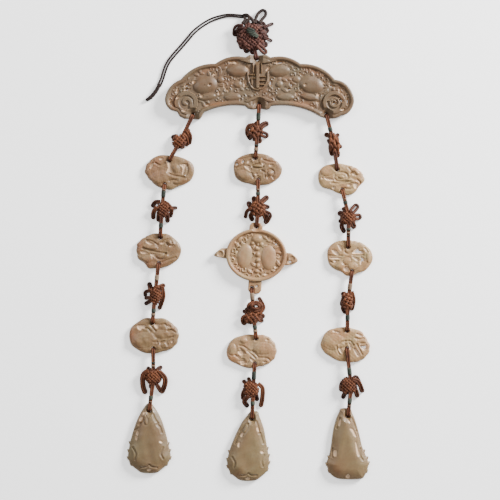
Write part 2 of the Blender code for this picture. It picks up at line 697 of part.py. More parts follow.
# The drops: half widths, as shares of half the width, at these shares of the height from the top
DROP_STEPS = (0.0, 0.06, 0.14, 0.25, 0.38, 0.52, 0.66, 0.76, 0.85, 0.93, 0.98)
DROPS = {
    "left_drop": {
        "width": 0.0342, "height": 0.0566, "hole": (0.1, 28.4),
        "left": (0.10, 0.26, 0.43, 0.60, 0.75, 0.88, 0.97, 1.0, 0.88, 0.60, 0.30),
        "right": (0.10, 0.26, 0.43, 0.60, 0.74, 0.86, 0.96, 1.0, 0.86, 0.58, 0.30),
        "openings": ((-6, 28, 1.6, 0.9, 45), (-9.5, 20, 1.4, 1.0, 0), (-13.6, 4, 0.9, 2.6, 0),
                     (12, -2, 1.8, 0.8, -30), (0, -30.4, 1.3, 0.9, 0)),
        "body": (0.5, -6, 15, 24, 0),
    },
    "centre_drop": {
        "width": 0.0340, "height": 0.0564, "hole": (3.7, 28.2),
        "left": (-0.10, 0.06, 0.28, 0.48, 0.68, 0.86, 0.98, 1.0, 0.88, 0.62, 0.30),
        "right": (0.44, 0.52, 0.62, 0.74, 0.82, 0.90, 0.98, 0.97, 0.86, 0.58, 0.28),
        "openings": ((-6.6, 13, 1.0, 1.8, 0), (-9.4, 3, 1.2, 1.8, 0), (14.2, -4.6, 1.3, 1.0, 0),
                     (-0.4, -31, 1.8, 0.7, 0)),
        "body": (2.5, -5, 14, 24, -4),
    },
    "right_drop": {
        "width": 0.0338, "height": 0.0576, "hole": (0.3, 28.8),
        "left": (0.30, 0.42, 0.54, 0.65, 0.73, 0.79, 0.88, 1.0, 0.92, 0.74, 0.34),
        "right": (0.12, 0.22, 0.34, 0.46, 0.58, 0.69, 0.88, 1.0, 0.94, 0.82, 0.60),
        "openings": ((-8, 21.6, 0.9, 2.4, 0), (5.2, 13.6, 1.0, 3.0, 25), (9.8, -3.6, 1.0, 5.0, 5),
                     (-13, -8, 1.3, 2.0, 0), (0.4, -31.6, 1.5, 0.9, 0)),
        "body": (-1, -7, 12.5, 25, 0),
    },
}
DROP_GRID = 42.6
DROP_EDGE = 0.0036
DROP_BARBS = 7
DROP_BARB = 0.0007


def drop(name, hole_at):
    spec = DROPS[name]
    scale = spec["width"] / DROP_GRID
    half, high = spec["width"] / 2, spec["height"]
    ring = [Vector((-w * half, high * (0.5 - t))) for t, w in zip(DROP_STEPS, spec["left"])]
    ring += [Vector((w * half, high * (0.5 - t)))
             for t, w in zip(DROP_STEPS[::-1], spec["right"][::-1])]
    outline = smooth_closed(ring, 3)[::2]
    for i, point in enumerate(outline):
        if point.y < 0.05 * high and i % 2 == 0:
            outline[i] = point + point.normalized() * DROP_BARB
    body = grid_pad(spec["body"], scale, scale)

    def carved(x, y):
        share = min(off_loop(Vector((x, y)), outline) / OVAL_ROLL, 1.0)
        level = DROP_EDGE + 0.0008 * share
        return level + (DROP_THICKNESS - level) * pad_share(x, y, body) ** 0.7

    hole = Vector(spec["hole"]) * scale
    land = (hole, hole + Vector((0, LAND_REACH)))
    carving = Carving([outline], lower_to_land(carved, [land]))
    cut_hole(carving, land[0], land[1] - land[0])
    carving.open_at([slit(row, scale, scale) for row in spec["openings"]])
    for share, count in ((1.0, 14), (0.8, 10), (0.45, 6)):
        carving.crease_loop(ellipse(*body[:2], body[2] * share, body[3] * share, 0, count))
    jade = material("jade_olive", JADE_OLIVE, 0.32)
    place(name, carving.mesh(name), hole_at - hole, 0, jade)


# The knots: a woven body and the loops round it (angle, reach, width, open), on a grid of half
# the knot's length; "body" is half length, half width and turn
KNOT_GRID = 12.0
KNOTS = {
    "left_knot_1": {"size": 0.92, "body": (9.5, 8.4, 40), "loops": (
        (172, 12, 4.5, 1), (212, 12.5, 4.5, 0), (278, 11.5, 5, 0), (-20, 11.5, 6, 0),
        (14, 11.5, 5, 0), (44, 12.5, 6, 0))},
    "left_knot_2": {"size": 1.05, "body": (10, 8.6, 70), "loops": (
        (140, 12.5, 7, 1), (217, 14, 5, 0), (240, 12.5, 5, 0), (-72, 13, 5, 1),
        (-12, 10.5, 7, 0), (7, 14.5, 3.6, 1), (52, 12, 5, 0))},
    "left_knot_3": {"size": 1.08, "body": (11, 7.6, 82), "loops": (
        (106, 12, 6, 1), (142, 12, 6, 0), (203, 11, 4, 0), (226, 12.5, 5, 1), (40, 12.5, 5, 0),
        (-68, 14, 6, 0))},
    "left_knot_4": {"size": 1.12, "body": (9, 8.6, 0), "loops": (
        (242, 15, 5, 0), (145, 12, 5, 0), (118, 11, 5, 0), (56, 13, 5, 0), (8, 11.6, 5, 0),
        (-22, 12, 5, 0), (-60, 15, 5, 0))},
    "centre_knot_1": {"size": 0.98, "body": (9.4, 8.6, 100), "loops": (
        (97, 12, 6, 0), (38, 13, 8, 0), (-22, 12.5, 6, 1), (-68, 12, 5, 0), (182, 11, 10, 0),
        (216, 11.5, 6, 0))},
    "centre_knot_2": {"size": 1.12, "body": (9.4, 8.6, 90), "loops": (
        (112, 12, 4.6, 0), (60, 13.5, 5, 0), (168, 11.5, 5, 1), (212, 13.5, 4.4, 0),
        (238, 12, 4.6, 0), (2, 12.4, 5, 0), (-26, 13, 5, 0), (-62, 13.4, 5, 1))},
    "centre_knot_3": {"size": 1.02, "body": (10, 8.4, 100), "loops": (
        (73, 16.5, 3.4, 0), (44, 13, 5, 0), (162, 11.5, 4, 0), (196, 12.5, 4, 0),
        (238, 14.5, 7, 0), (0, 12.4, 6, 0), (-26, 12.4, 5, 0))},
    "centre_knot_4": {"size": 1.05, "body": (10, 8.6, 95), "loops": (
        (110, 13.5, 4.4, 0), (134, 13, 4.4, 0), (180, 11.5, 5, 0), (212, 12.5, 5, 0),
        (247, 15, 5, 1), (60, 11.6, 4.6, 0), (22, 12, 5.6, 0), (-62, 16.5, 4.6, 0))},
    "right_knot_1": {"size": 0.98, "body": (12, 6, 105), "loops": (
        (140, 11.5, 4.6, 0), (58, 11, 4.4, 0), (-22, 9.6, 5, 0), (-56, 13, 5, 0),
        (-100, 13, 5, 0))},
    "right_knot_2": {"size": 1.08, "body": (9, 8.6, 0), "loops": (
        (156, 11.5, 6, 0), (200, 10.6, 6, 0), (254, 14.5, 5, 1), (52, 13.4, 7, 1),
        (22, 13.4, 6, 1), (-14, 12, 5, 0), (-62, 11.6, 6, 1))},
    "right_knot_3": {"size": 0.84, "body": (11, 6.8, 95), "loops": (
        (124, 13, 6, 0), (182, 8.4, 5, 0), (-108, 13, 5.4, 0), (-62, 12, 4.4, 0),
        (18, 8.6, 9, 0))},
    "right_knot_4": {"size": 1.02, "body": (10, 8.6, 110), "loops": (
        (138, 13, 7, 0), (188, 10.6, 7, 0), (244, 14.5, 5, 1), (-32, 15, 5, 0),
        (-62, 13.4, 5, 1), (60, 10.6, 5, 0))},
}
WEAVE_STEP = 3.4
WEAVE_DEPTH = 0.0008
LOOP_ROOT = 0.42
BLUNT = 1.2


def knot_loops(spec, scale):
    """The plan of each side loop and of the opening in those that stand open."""
    loops, openings = [], []
    for angle, reach, width, is_open in spec["loops"]:
        inner = reach * LOOP_ROOT
        middle, half = (reach + inner) / 2, (reach - inner) / 2
        c, s = math.cos(math.radians(angle)), math.sin(math.radians(angle))
        loops.append(ellipse(middle * c * scale, middle * s * scale, half * BLUNT * scale,
                             width / 2 * scale, angle, 5, 0.5))
        if is_open:
            cord = CORD_DIAMETER
            at = (reach * scale - cord - 0.42 * (half * scale - cord))
            openings.append(ellipse(at * c, at * s, 0.42 * (half * scale - cord),
                                    max(width / 2 * scale - cord * 0.72, 0.0004), angle, 4))
    return loops, openings


def knotted_cord(name, centre, from_hole, to_hole):
    """One knot with the cord that comes into it from the jade above and leaves for the next."""
    spec = KNOTS[name]
    scale = KNOT_HALF_LENGTH * spec["size"] / KNOT_GRID
    half_length, half_width, turn = spec["body"]
    body = (0.0, 0.0, half_length * scale, half_width * scale, turn)
    loops, openings = knot_loops(spec, scale)

    def height(x, y):
        share = pad_share(x, y, body)
        if share <= 0:
            return LOOP_THICKNESS
        return LOOP_THICKNESS + (KNOT_THICKNESS - LOOP_THICKNESS) * share ** 0.5

    weave = []
    for i in range(-2, 3):
        for j in range(-2, 3):
            point = Vector((i - j, i + j)) * WEAVE_STEP * scale / math.sqrt(2)
            if pad_share(point.x, point.y, body) > 0.4:
                weave.append(((i + j) % 2, point))

    def woven(x, y):
        level = height(x, y)
        for low, point in weave:
            if low and (Vector((x, y)) - point).length < MERGE * 2:
                level -= WEAVE_DEPTH
        return level

    carving = Carving([ellipse(*body, 10)] + loops, woven)
    carving.open_at(openings)
    for _, point in weave:
        carving.crease_line([point, point + Vector((MERGE / 2, 0))])
    silk = material("silk_brown", SILK_BROWN, 0.7)
    knot = place(name, carving.mesh(name), centre, 0, silk)
    for hole in (from_hole, to_hole):
        join_link(knot, centre, hole)
    return knot


def join_link(knot, centre, hole):
    """Unites the knot with the doubled cord that runs from it over an edge and into a hole."""
    away = (hole - centre).to_3d()
    along = away.normalized()
    level = Vector((0, 0, LINK_LEVEL))
    sunk = Vector((0, 0, CLEARANCE * 3))
    bend = HOLE_RADIUS - CLEARANCE
    points = [along * KNOT_HALF_LENGTH * 0.3 + level, away - along * bend + level,
              away - along * bend * 0.1 + level * 0.76, away + sunk]
    link = bpy.data.objects.new(knot.name + "_link", rail(points, LINK_DIAMETER / 2, LINK_SIDES))
    link.location = knot.location
    link.hide_render = True
    link.display_type = "WIRE"
    bpy.context.collection.objects.link(link)
    union = knot.modifiers.new("link", "BOOLEAN")
    union.operation = "UNION"
    union.solver = "EXACT"
    union.object = link


# The big knot at the top, on a grid 36 wide from its middle, and the small loop above it
TOP_KNOT_GRID = 36.0
TOP_KNOT_OUTLINE = ((-18, 8.6), (-18.3, 3.1), (-15.2, -2), (-14, -6.8), (-10.6, -11.4),
                    (-4.6, -14.8), (1.0, -16.4), (8.4, -16.4), (13.8, -10.6), (17.2, -6),
                    (17.2, 2.5), (17.6, 9.3), (14.8, 14.6), (7, 15.4), (0.7, 18.2),
                    (-2.7, 22.9), (-7.2, 23.4), (-7.4, 18.2), (-12.0, 16.6), (-15.2, 13.2))
TOP_KNOT_STUBS = ((17.6, 12.9, 4.8, 1.8, 20), (18.0, -2.0, 4.0, 1.7, -35),
                  (13.8, -14.4, 3.6, 3.2, 0))
TOP_KNOT_LOOP = (9.6, 19.4, 7.4, 3.4, 54)
TOP_KNOT_PLACE = (-5.5, 22.1)
WEAVE_ROWS = 3
LINK_SIDES = 5


def top_knot(crown):
    """The large knot, tied through the plaque's crown, returning its middle."""
    scale = TOP_KNOT_WIDTH / TOP_KNOT_GRID
    centre = crown + Vector(TOP_KNOT_PLACE) * scale
    outline = [Vector(p) * scale for p in TOP_KNOT_OUTLINE]
    body = (0.0, 0.0, 17.5 * scale, 17.0 * scale, 0.0)
    stubs = [ellipse(*grid_pad(row, scale, scale), 8) for row in TOP_KNOT_STUBS]
    loop = grid_pad(TOP_KNOT_LOOP, scale, scale)
    eye = (loop[0], loop[1], loop[2] - CORD_DIAMETER * 1.1, loop[3] - CORD_DIAMETER * 1.0, loop[4])

    def height(x, y):
        if not inside(Vector((x, y)), outline):
            return CORD_DIAMETER if pad_share(x, y, loop) > 0 else LOOP_THICKNESS
        share = pad_share(x, y, body)
        return LOOP_THICKNESS + (TOP_KNOT_THICKNESS - LOOP_THICKNESS) * share ** 0.5

    weave = {}
    step = WEAVE_STEP * scale * 1.35
    for i in range(-WEAVE_ROWS, WEAVE_ROWS + 1):
        for j in range(-WEAVE_ROWS, WEAVE_ROWS + 1):
            point = Vector((i - j, i + j)) * step / math.sqrt(2)
            if pad_share(point.x, point.y, body) > 0.25:
                weave[(i, j)] = point

    def woven(x, y):
        level = height(x, y)
        for (i, j), point in weave.items():
            if (i + j) % 2 and (Vector((x, y)) - point).length < MERGE * 2:
                level -= WEAVE_DEPTH * 1.3
        return level

    carving = Carving([outline] + stubs + [ellipse(*loop, 12)], woven)
    carving.open_at([ellipse(*eye, 8)])
    for point in weave.values():
        carving.crease_line([point, point + Vector((MERGE / 2, 0))])
    silk = material("silk_brown", SILK_BROWN, 0.7)
    knot = place("top_knot", carving.mesh("top_knot"), centre, 0, silk)
    join_link(knot, centre, crown)
    return centre


# The hanging cords: two strands side by side, from the top knot's upper left to their bound tip,
# as points in millimetres from the knot's middle
OUTER_ROUTE = ((-6.25, 17.8), (-9.6, 18.2), (-17.9, 18.7), (-24.8, 17.7), (-32.9, 15.0),
               (-40.9, 10.2), (-47.4, 4.8), (-50.6, 1.0), (-57.0, -6.5), (-62.3, -12.4),
               (-66.6, -17.8), (-69.3, -22.6), (-71.2, -27.9), (-72.8, -33.3), (-75.2, -37.9))
INNER_ROUTE = ((-6.25, 15.7), (-9.6, 16.0), (-17.9, 16.7), (-24.6, 15.5), (-32.0, 12.2),
               (-39.8, 8.0), (-46.0, 3.2), (-49.3, -0.7), (-55.6, -8.1), (-60.9, -14.0),
               (-65.0, -19.1), (-67.4, -23.5), (-69.2, -28.5), (-70.8, -33.7), (-73.1, -39.1))
TIP_ROUTE = ((-74.5, -39.2), (-76.8, -43.4), (-81.0, -48.2), (-84.8, -50.4))
MILLIMETRE = 0.001
CORD_SPAN = 0.009


def lay_cord(name, route, diameter, middle, resolution, finish):
    """A round cord lying on the ground along a smooth route."""
    points = [Vector((middle.x + x * MILLIMETRE, middle.y + y * MILLIMETRE, diameter / 2))
              for x, y in route]
    points = smooth_open(points, CORD_SPAN)
    curve = bpy.data.curves.new(name, "CURVE")
    curve.dimensions = "3D"
    curve.bevel_depth = diameter / 2
    curve.bevel_resolution = resolution
    curve.use_fill_caps = True
    spline = curve.splines.new("POLY")
    spline.points.add(len(points) - 1)
    for slot, point in zip(spline.points, points):
        slot.co = (*point, 1.0)
    cord = bpy.data.objects.new(name, curve)
    curve.materials.append(finish)
    bpy.context.collection.objects.link(cord)
    return cord


# The strands: how each cord leans from straight down, and its free length beyond the knot
STRANDS = {
    "left": (("left_knot_1", -25.4, 0.0128, -29.9, 0.0110), "left_oval_1",
             ("left_knot_2", -5.3, 0.0108, -3.6, 0.0117), "left_oval_2",
             ("left_knot_3", -6.3, 0.0160, -5.1, 0.0114), "left_oval_3",
             ("left_knot_4", 0.6, 0.0143, -7.9, 0.0142), "left_drop"),
    "centre": (("centre_knot_1", -3.6, 0.0123, -4.3, 0.0122), "centre_oval_1",
               ("centre_knot_2", 0.0, 0.0129, -4.8, 0.0034), "medallion",
               ("centre_knot_3", 3.9, 0.0111, 6.1, 0.0101), "centre_oval_2",
               ("centre_knot_4", -2.9, 0.0136, -2.3, 0.0106), "centre_drop"),
    "right": (("right_knot_1", 14.1, 0.0146, 7.7, 0.0117), "right_oval_1",
              ("right_knot_2", 13.4, 0.0122, -1.1, 0.0139), "right_oval_2",
              ("right_knot_3", -7.7, 0.0168, -1.0, 0.0151), "right_oval_3",
              ("right_knot_4", 6.2, 0.0213, -6.1, 0.0137), "right_drop"),
}


def strand(start, rows):
    """Hangs a strand from its foot hole, each piece placed from the one above."""
    hole = start
    for row in rows:
        if isinstance(row, tuple):
            name, lean_in, free_in, lean_out, free_out = row
            half = KNOT_HALF_LENGTH * KNOTS[name]["size"]
            centre = hole + downward(lean_in) * (half + free_in)
            below = centre + downward(lean_out) * (half + free_out)
            knotted_cord(name, centre, hole, below)
            hole = below
        elif row == "medallion":
            hole = medallion(hole)
        elif row in OVALS:
            hole = oval(row, hole, 0.0)
        else:
            drop(row, hole)


def downward(lean):
    return Vector((math.sin(math.radians(lean)), -math.cos(math.radians(lean))))


def settle(cords):
    """Moves everything so that the origin lies under the middle of the pieces on the ground."""
    bpy.context.view_layer.update()
    solids = [o for o in bpy.context.collection.objects
              if o.type == "MESH" and not o.hide_render and o.name not in cords]
    corners = [o.matrix_world @ v.co for o in solids for v in o.data.vertices]
    low = [min(c[i] for c in corners) for i in (0, 1)]
    high = [max(c[i] for c in corners) for i in (0, 1)]
    root = bpy.data.objects.new("ornament", None)
    root.location = (-(low[0] + high[0]) / 2, -(low[1] + high[1]) / 2, 0.0)
    bpy.context.collection.objects.link(root)
    for piece in list(bpy.context.collection.objects):
        if piece is not root:
            piece.parent = root


def main():
    for old in list(bpy.data.objects):
        bpy.data.objects.remove(old, do_unlink=True)
    holes, crown = top_plaque()
    for key, rows in STRANDS.items():
        strand(holes[key], rows)
    middle = top_knot(crown)
    silk = material("silk_brown", SILK_BROWN, 0.7)
    lay_cord("hanging_cord_outer", OUTER_ROUTE, CORD_DIAMETER, middle, 1, silk)
    lay_cord("hanging_cord_inner", INNER_ROUTE, CORD_DIAMETER, middle, 1, silk)
    lay_cord("cord_tip_binding", TIP_ROUTE, TIP_DIAMETER, middle, 2, silk)
    settle({"hanging_cord_outer", "hanging_cord_inner", "cord_tip_binding"})


main()
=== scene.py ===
# Carved jade hanging ornament strung on knotted silk cord: the finish of every surface.
import json
import math
from functools import partial
import bpy
import numpy as np
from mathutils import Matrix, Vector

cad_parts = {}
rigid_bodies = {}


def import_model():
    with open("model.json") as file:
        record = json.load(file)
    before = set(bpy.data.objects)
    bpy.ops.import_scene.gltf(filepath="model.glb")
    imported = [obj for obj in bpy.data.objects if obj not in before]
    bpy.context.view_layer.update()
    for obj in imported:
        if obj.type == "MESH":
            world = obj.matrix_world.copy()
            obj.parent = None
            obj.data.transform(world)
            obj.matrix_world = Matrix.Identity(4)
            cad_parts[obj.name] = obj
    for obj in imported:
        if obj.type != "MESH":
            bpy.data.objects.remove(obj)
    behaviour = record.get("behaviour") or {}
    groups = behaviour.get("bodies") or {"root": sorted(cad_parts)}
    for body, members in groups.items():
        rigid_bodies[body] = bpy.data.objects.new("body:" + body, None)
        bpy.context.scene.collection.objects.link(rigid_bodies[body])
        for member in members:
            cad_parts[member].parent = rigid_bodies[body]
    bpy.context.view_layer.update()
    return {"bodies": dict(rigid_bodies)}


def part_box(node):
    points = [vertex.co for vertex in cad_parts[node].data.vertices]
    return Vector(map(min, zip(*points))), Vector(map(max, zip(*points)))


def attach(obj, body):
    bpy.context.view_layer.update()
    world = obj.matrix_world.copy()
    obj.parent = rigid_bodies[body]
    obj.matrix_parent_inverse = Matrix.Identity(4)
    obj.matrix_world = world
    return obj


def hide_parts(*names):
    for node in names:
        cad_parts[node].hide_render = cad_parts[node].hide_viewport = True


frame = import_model()
rootBody = next(iter(frame["bodies"]))
mm = 0.001
unit = 0.0008  # one step of the carving grids
print("stage: frame loaded")


# Plane geometry on whole arrays

def turned(x, y, degrees):
    # Coordinates along and across a direction given in degrees from +X.
    a = math.radians(degrees)
    return x * math.cos(a) + y * math.sin(a), -x * math.sin(a) + y * math.cos(a)


def turnedOut(u, v, degrees, place):
    # The way back: a shape's own coordinates turned by the angle and set at its place.
    a = math.radians(degrees)
    return place[0] + u * math.cos(a) - v * math.sin(a), place[1] + u * math.sin(a) + v * math.cos(a)


def ellipseDistance(x, y, row):
    # How far a point lies outside an ellipse, negative inside. Row: centre x, centre y, half
    # length, half width, turn.
    u, v = turned(x - row[0], y - row[1], row[4])
    share = np.hypot(u / row[2], v / row[3])
    slope = np.hypot(u / row[2] ** 2, v / row[3] ** 2)
    return share * (share - 1) / np.maximum(slope, 1e-9)


def lineDistance(x, y, points):
    # The distance to the nearest of a line's straight spans.
    nearest = np.full(np.shape(x), 1e3)
    for (ax, ay), (bx, by) in zip(points[:-1], points[1:]):
        ux, uy = bx - ax, by - ay
        t = np.clip(((x - ax) * ux + (y - ay) * uy) / (ux * ux + uy * uy + 1e-12), 0, 1)
        nearest = np.minimum(nearest, np.hypot(x - ax - t * ux, y - ay - t * uy))
    return nearest


def loopDistance(x, y, loop):
    # The distance to a closed outline, positive inside; inside where a ray crosses it oddly.
    closed = np.vstack([loop, loop[:1]])
    inside = np.zeros(np.shape(x), bool)
    for (ax, ay), (bx, by) in zip(closed[:-1], closed[1:]):
        if ay != by:
            crosses = ((ay > y) != (by > y)) & (x < ax + (y - ay) * (bx - ax) / (by - ay))
            inside ^= crosses
    return np.where(inside, 1, -1) * lineDistance(x, y, closed)


def smoothLine(points, count, closed=False):
    # A Catmull-Rom curve through the points, read at even steps of its parameter.
    p = np.asarray(points, float)
    spans = len(p) if closed else len(p) - 1
    t = np.linspace(0, spans, count, endpoint=not closed)
    i = np.minimum(t.astype(int), spans - 1)
    f = (t - i)[:, None]
    if closed:
        a, b, c, d = (p[(i + k) % len(p)] for k in (-1, 0, 1, 2))
    else:
        wide = np.vstack([2 * p[0] - p[1], p, 2 * p[-1] - p[-2]])
        a, b, c, d = (wide[i + k] for k in (0, 1, 2, 3))
    return 0.5 * (2 * b + (c - a) * f + (2 * a - 5 * b + 4 * c - d) * f ** 2
                  + (3 * b - a - 3 * c + d) * f ** 3)


def evenLine(points, spacing):
    # The same curve read at even lengths.
    fine = smoothLine(points, 24 * len(points))
    lengths = np.concatenate([[0], np.cumsum(np.linalg.norm(np.diff(fine, axis=0), axis=1))])
    count = max(3, int(round(lengths[-1] / spacing)) + 1)
    at = np.linspace(0, lengths[-1], count)
    return np.stack([np.interp(at, lengths, fine[:, k]) for k in range(fine.shape[1])], 1)


def arcPoints(start, end, sagitta, steps):
    # Points from start towards end on a parabola that bulges by the sagitta to the left.
    start, end = np.array(start, float), np.array(end, float)
    chord = end - start
    side = np.array([-chord[1], chord[0]]) / np.linalg.norm(chord)
    t = np.arange(steps)[:, None] / steps
    return start + chord * t + side * sagitta * 4 * t * (1 - t)


def arcLoop(start, arcs, finer):
    # An outline run as arcs, each given as its end, its sagitta and its number of steps.
    parts = []
    for end, sagitta, steps in arcs:
        parts.append(arcPoints(start, end, sagitta, steps * finer if sagitta else 1))
        start = end
    return np.vstack(parts)


def eased(share):
    # A share from 0 to 1 with a soft start and end: 3 of its square less 2 of its cube.
    return share * share * (3 - 2 * share)


def ridge(distance, width):
    # 1 on a line, falling as a parabola to 0 at the given half width.
    return np.maximum(0, 1 - (distance / width) ** 2)


def roundFall(inward, radius):
    # How far an edge rounded as a quarter circle lies below the full height, by the way in from it.
    return radius - np.sqrt(np.maximum(radius ** 2 - np.maximum(radius - inward, 0) ** 2, 0))


def blurred(field, rounds):
    # Each round takes the mean of a point and its four neighbours.
    for _ in range(rounds):
        wide = np.pad(field, 1, mode="edge")
        field = (field + wide[:-2, 1:-1] + wide[2:, 1:-1] + wide[1:-1, :-2] + wide[1:-1, 2:]) / 5
    return field


# Meshes
shadeHeights = {"low": 0.0008, "span": 0.0050}  # painted shade: silk is darker towards the low end


def newMesh(name, verts, quads, tris=None, quadUv=None, triUv=None, dye=None):
    # A mesh from whole arrays; dye is each point's share of faded silk. The same attribute
    # carries each point's height share, which the silk finish uses for painted shade on low places.
    data = bpy.data.meshes.new(name)
    tris = np.zeros((0, 3), int) if tris is None else tris
    data.vertices.add(len(verts))
    data.vertices.foreach_set("co", np.asarray(verts, np.float32).ravel())
    corners = np.concatenate([quads.ravel(), tris.ravel()]).astype(np.int32)
    data.loops.add(len(corners))
    data.loops.foreach_set("vertex_index", corners)
    starts = np.concatenate([np.arange(len(quads)) * 4, len(quads) * 4 + np.arange(len(tris)) * 3])
    data.polygons.add(len(starts))
    data.polygons.foreach_set("loop_start", starts.astype(np.int32))
    data.update(calc_edges=True)
    if quadUv is not None:
        layer = data.uv_layers.new(name="UVMap")
        uv = np.concatenate([quadUv.reshape(-1, 2), triUv.reshape(-1, 2)])
        layer.data.foreach_set("uv", uv.astype(np.float32).ravel())
    if dye is not None:
        values = np.ones((len(verts), 4), np.float32)
        values[:, 0] = dye
        # second channel: the height share, low places darkened by the silk finish as painted shade
        values[:, 1] = np.clip((np.asarray(verts)[:, 2] - shadeHeights["low"]) / shadeHeights["span"], 0, 1)
        layer = data.color_attributes.new("dye", "FLOAT_COLOR", "POINT")
        layer.data.foreach_set("color", values.ravel())
    data.validate()
    data.shade_smooth()
    return data


def addPiece(name, data, finish, slotName, *nodes):
    piece = bpy.data.objects.new(name, data)
    bpy.context.collection.objects.link(piece)
    data.materials.append(finish)
    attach(piece, rootBody)
    if nodes:
        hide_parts(*nodes)
    return piece


def ringFaces(rows, sides):
    # Quads between rings of points, and a fan of triangles over each end round two added points.
    i, k = np.meshgrid(np.arange(rows - 1), np.arange(sides), indexing="ij")
    n = (k + 1) % sides
    quads = np.stack([i * sides + k, (i + 1) * sides + k, (i + 1) * sides + n, i * sides + n], -1)
    ring = np.arange(sides)
    following = (ring + 1) % sides
    last = (rows - 1) * sides
    fans = np.vstack([np.stack([np.full(sides, rows * sides), ring, following], -1),
                      np.stack([np.full(sides, rows * sides + 1), last + following, last + ring], -1)])
    return quads.reshape(-1, 4), fans, i, k


def tube(path, radius, sides):
    # A round section carried along a path: each ring stands square to the path, and each end is
    # closed by a fan. Where the path runs nearly upright it keeps the last side that it had.
    # Returns points, quads, triangles and their UVs (turn, length along).
    steep = 0.15
    path = np.asarray(path, float)
    along = np.gradient(path, axis=0)
    along /= np.linalg.norm(along, axis=1)[:, None]
    side = np.cross(along, [0, 0, 1.0])
    size = np.linalg.norm(side, axis=1)
    if size.max() <= steep:
        side, size = np.cross(along, [1.0, 0, 0]), np.ones(len(path))
    good = np.maximum.accumulate(np.where(size > steep, np.arange(len(path)), 0))
    if size[0] <= steep:
        good[good == 0] = np.argmax(size > steep)
    side = side[good] / np.linalg.norm(side[good], axis=1)[:, None]
    side -= along * np.sum(side * along, axis=1)[:, None]
    side /= np.linalg.norm(side, axis=1)[:, None]
    up = np.cross(side, along)
    a = 2 * np.pi * np.arange(sides) / sides
    radius = np.broadcast_to(np.asarray(radius, float), (len(path),))
    ring = side[:, None, :] * np.cos(a)[None, :, None] + up[:, None, :] * np.sin(a)[None, :, None]
    verts = path[:, None, :] + ring * radius[:, None, None]
    quads, tris, i, k = ringFaces(len(path), sides)
    steps = np.linalg.norm(np.diff(path, axis=0), axis=1)
    s = np.concatenate([[0], np.cumsum(steps)])
    u0, u1 = k / sides, (k + 1) / sides
    uv = np.stack([np.stack([u0, s[i]], -1), np.stack([u0, s[i + 1]], -1),
                   np.stack([u1, s[i + 1]], -1), np.stack([u1, s[i]], -1)], -2)
    triUv = np.zeros((2 * sides, 3, 2))
    triUv[sides:, :, 1] = s[-1]
    verts = np.vstack([verts.reshape(-1, 3), path[:1], path[-1:]])
    return verts, quads, tris, uv.reshape(-1, 4, 2), triUv


def silkPiece(name, parts, tones, colour, *nodes):
    # Several tubes as one piece of silk, each with its own share of faded dye.
    offsets = np.cumsum([0] + [len(p[0]) for p in parts[:-1]])
    quads, tris = (np.vstack([p[k] + o for p, o in zip(parts, offsets)]) for k in (1, 2))
    quadUv, triUv = (np.concatenate([p[k] for p in parts]) for k in (3, 4))
    dye = np.concatenate([np.full(len(p[0]), t) for p, t in zip(parts, tones)])
    data = newMesh(name, np.vstack([p[0] for p in parts]), quads, tris, quadUv, triUv, dye)
    return addPiece(name, data, silk[colour], "silk_brown", *nodes)


# Carved plates
carving = {"windowSlope": 0.0008, "windowStart": 0.72, "wornEdgeSheen": 0.6, "sharpAngle": 60,
           "domeCut": 0.00016, "swell": 0.00010, "edgeFade": 0.0015}


def corners(keep):
    # The four cells round each grid point, as two diagonal pairs.
    return keep[:-1, :-1], keep[1:, 1:], keep[:-1, 1:], keep[1:, :-1]


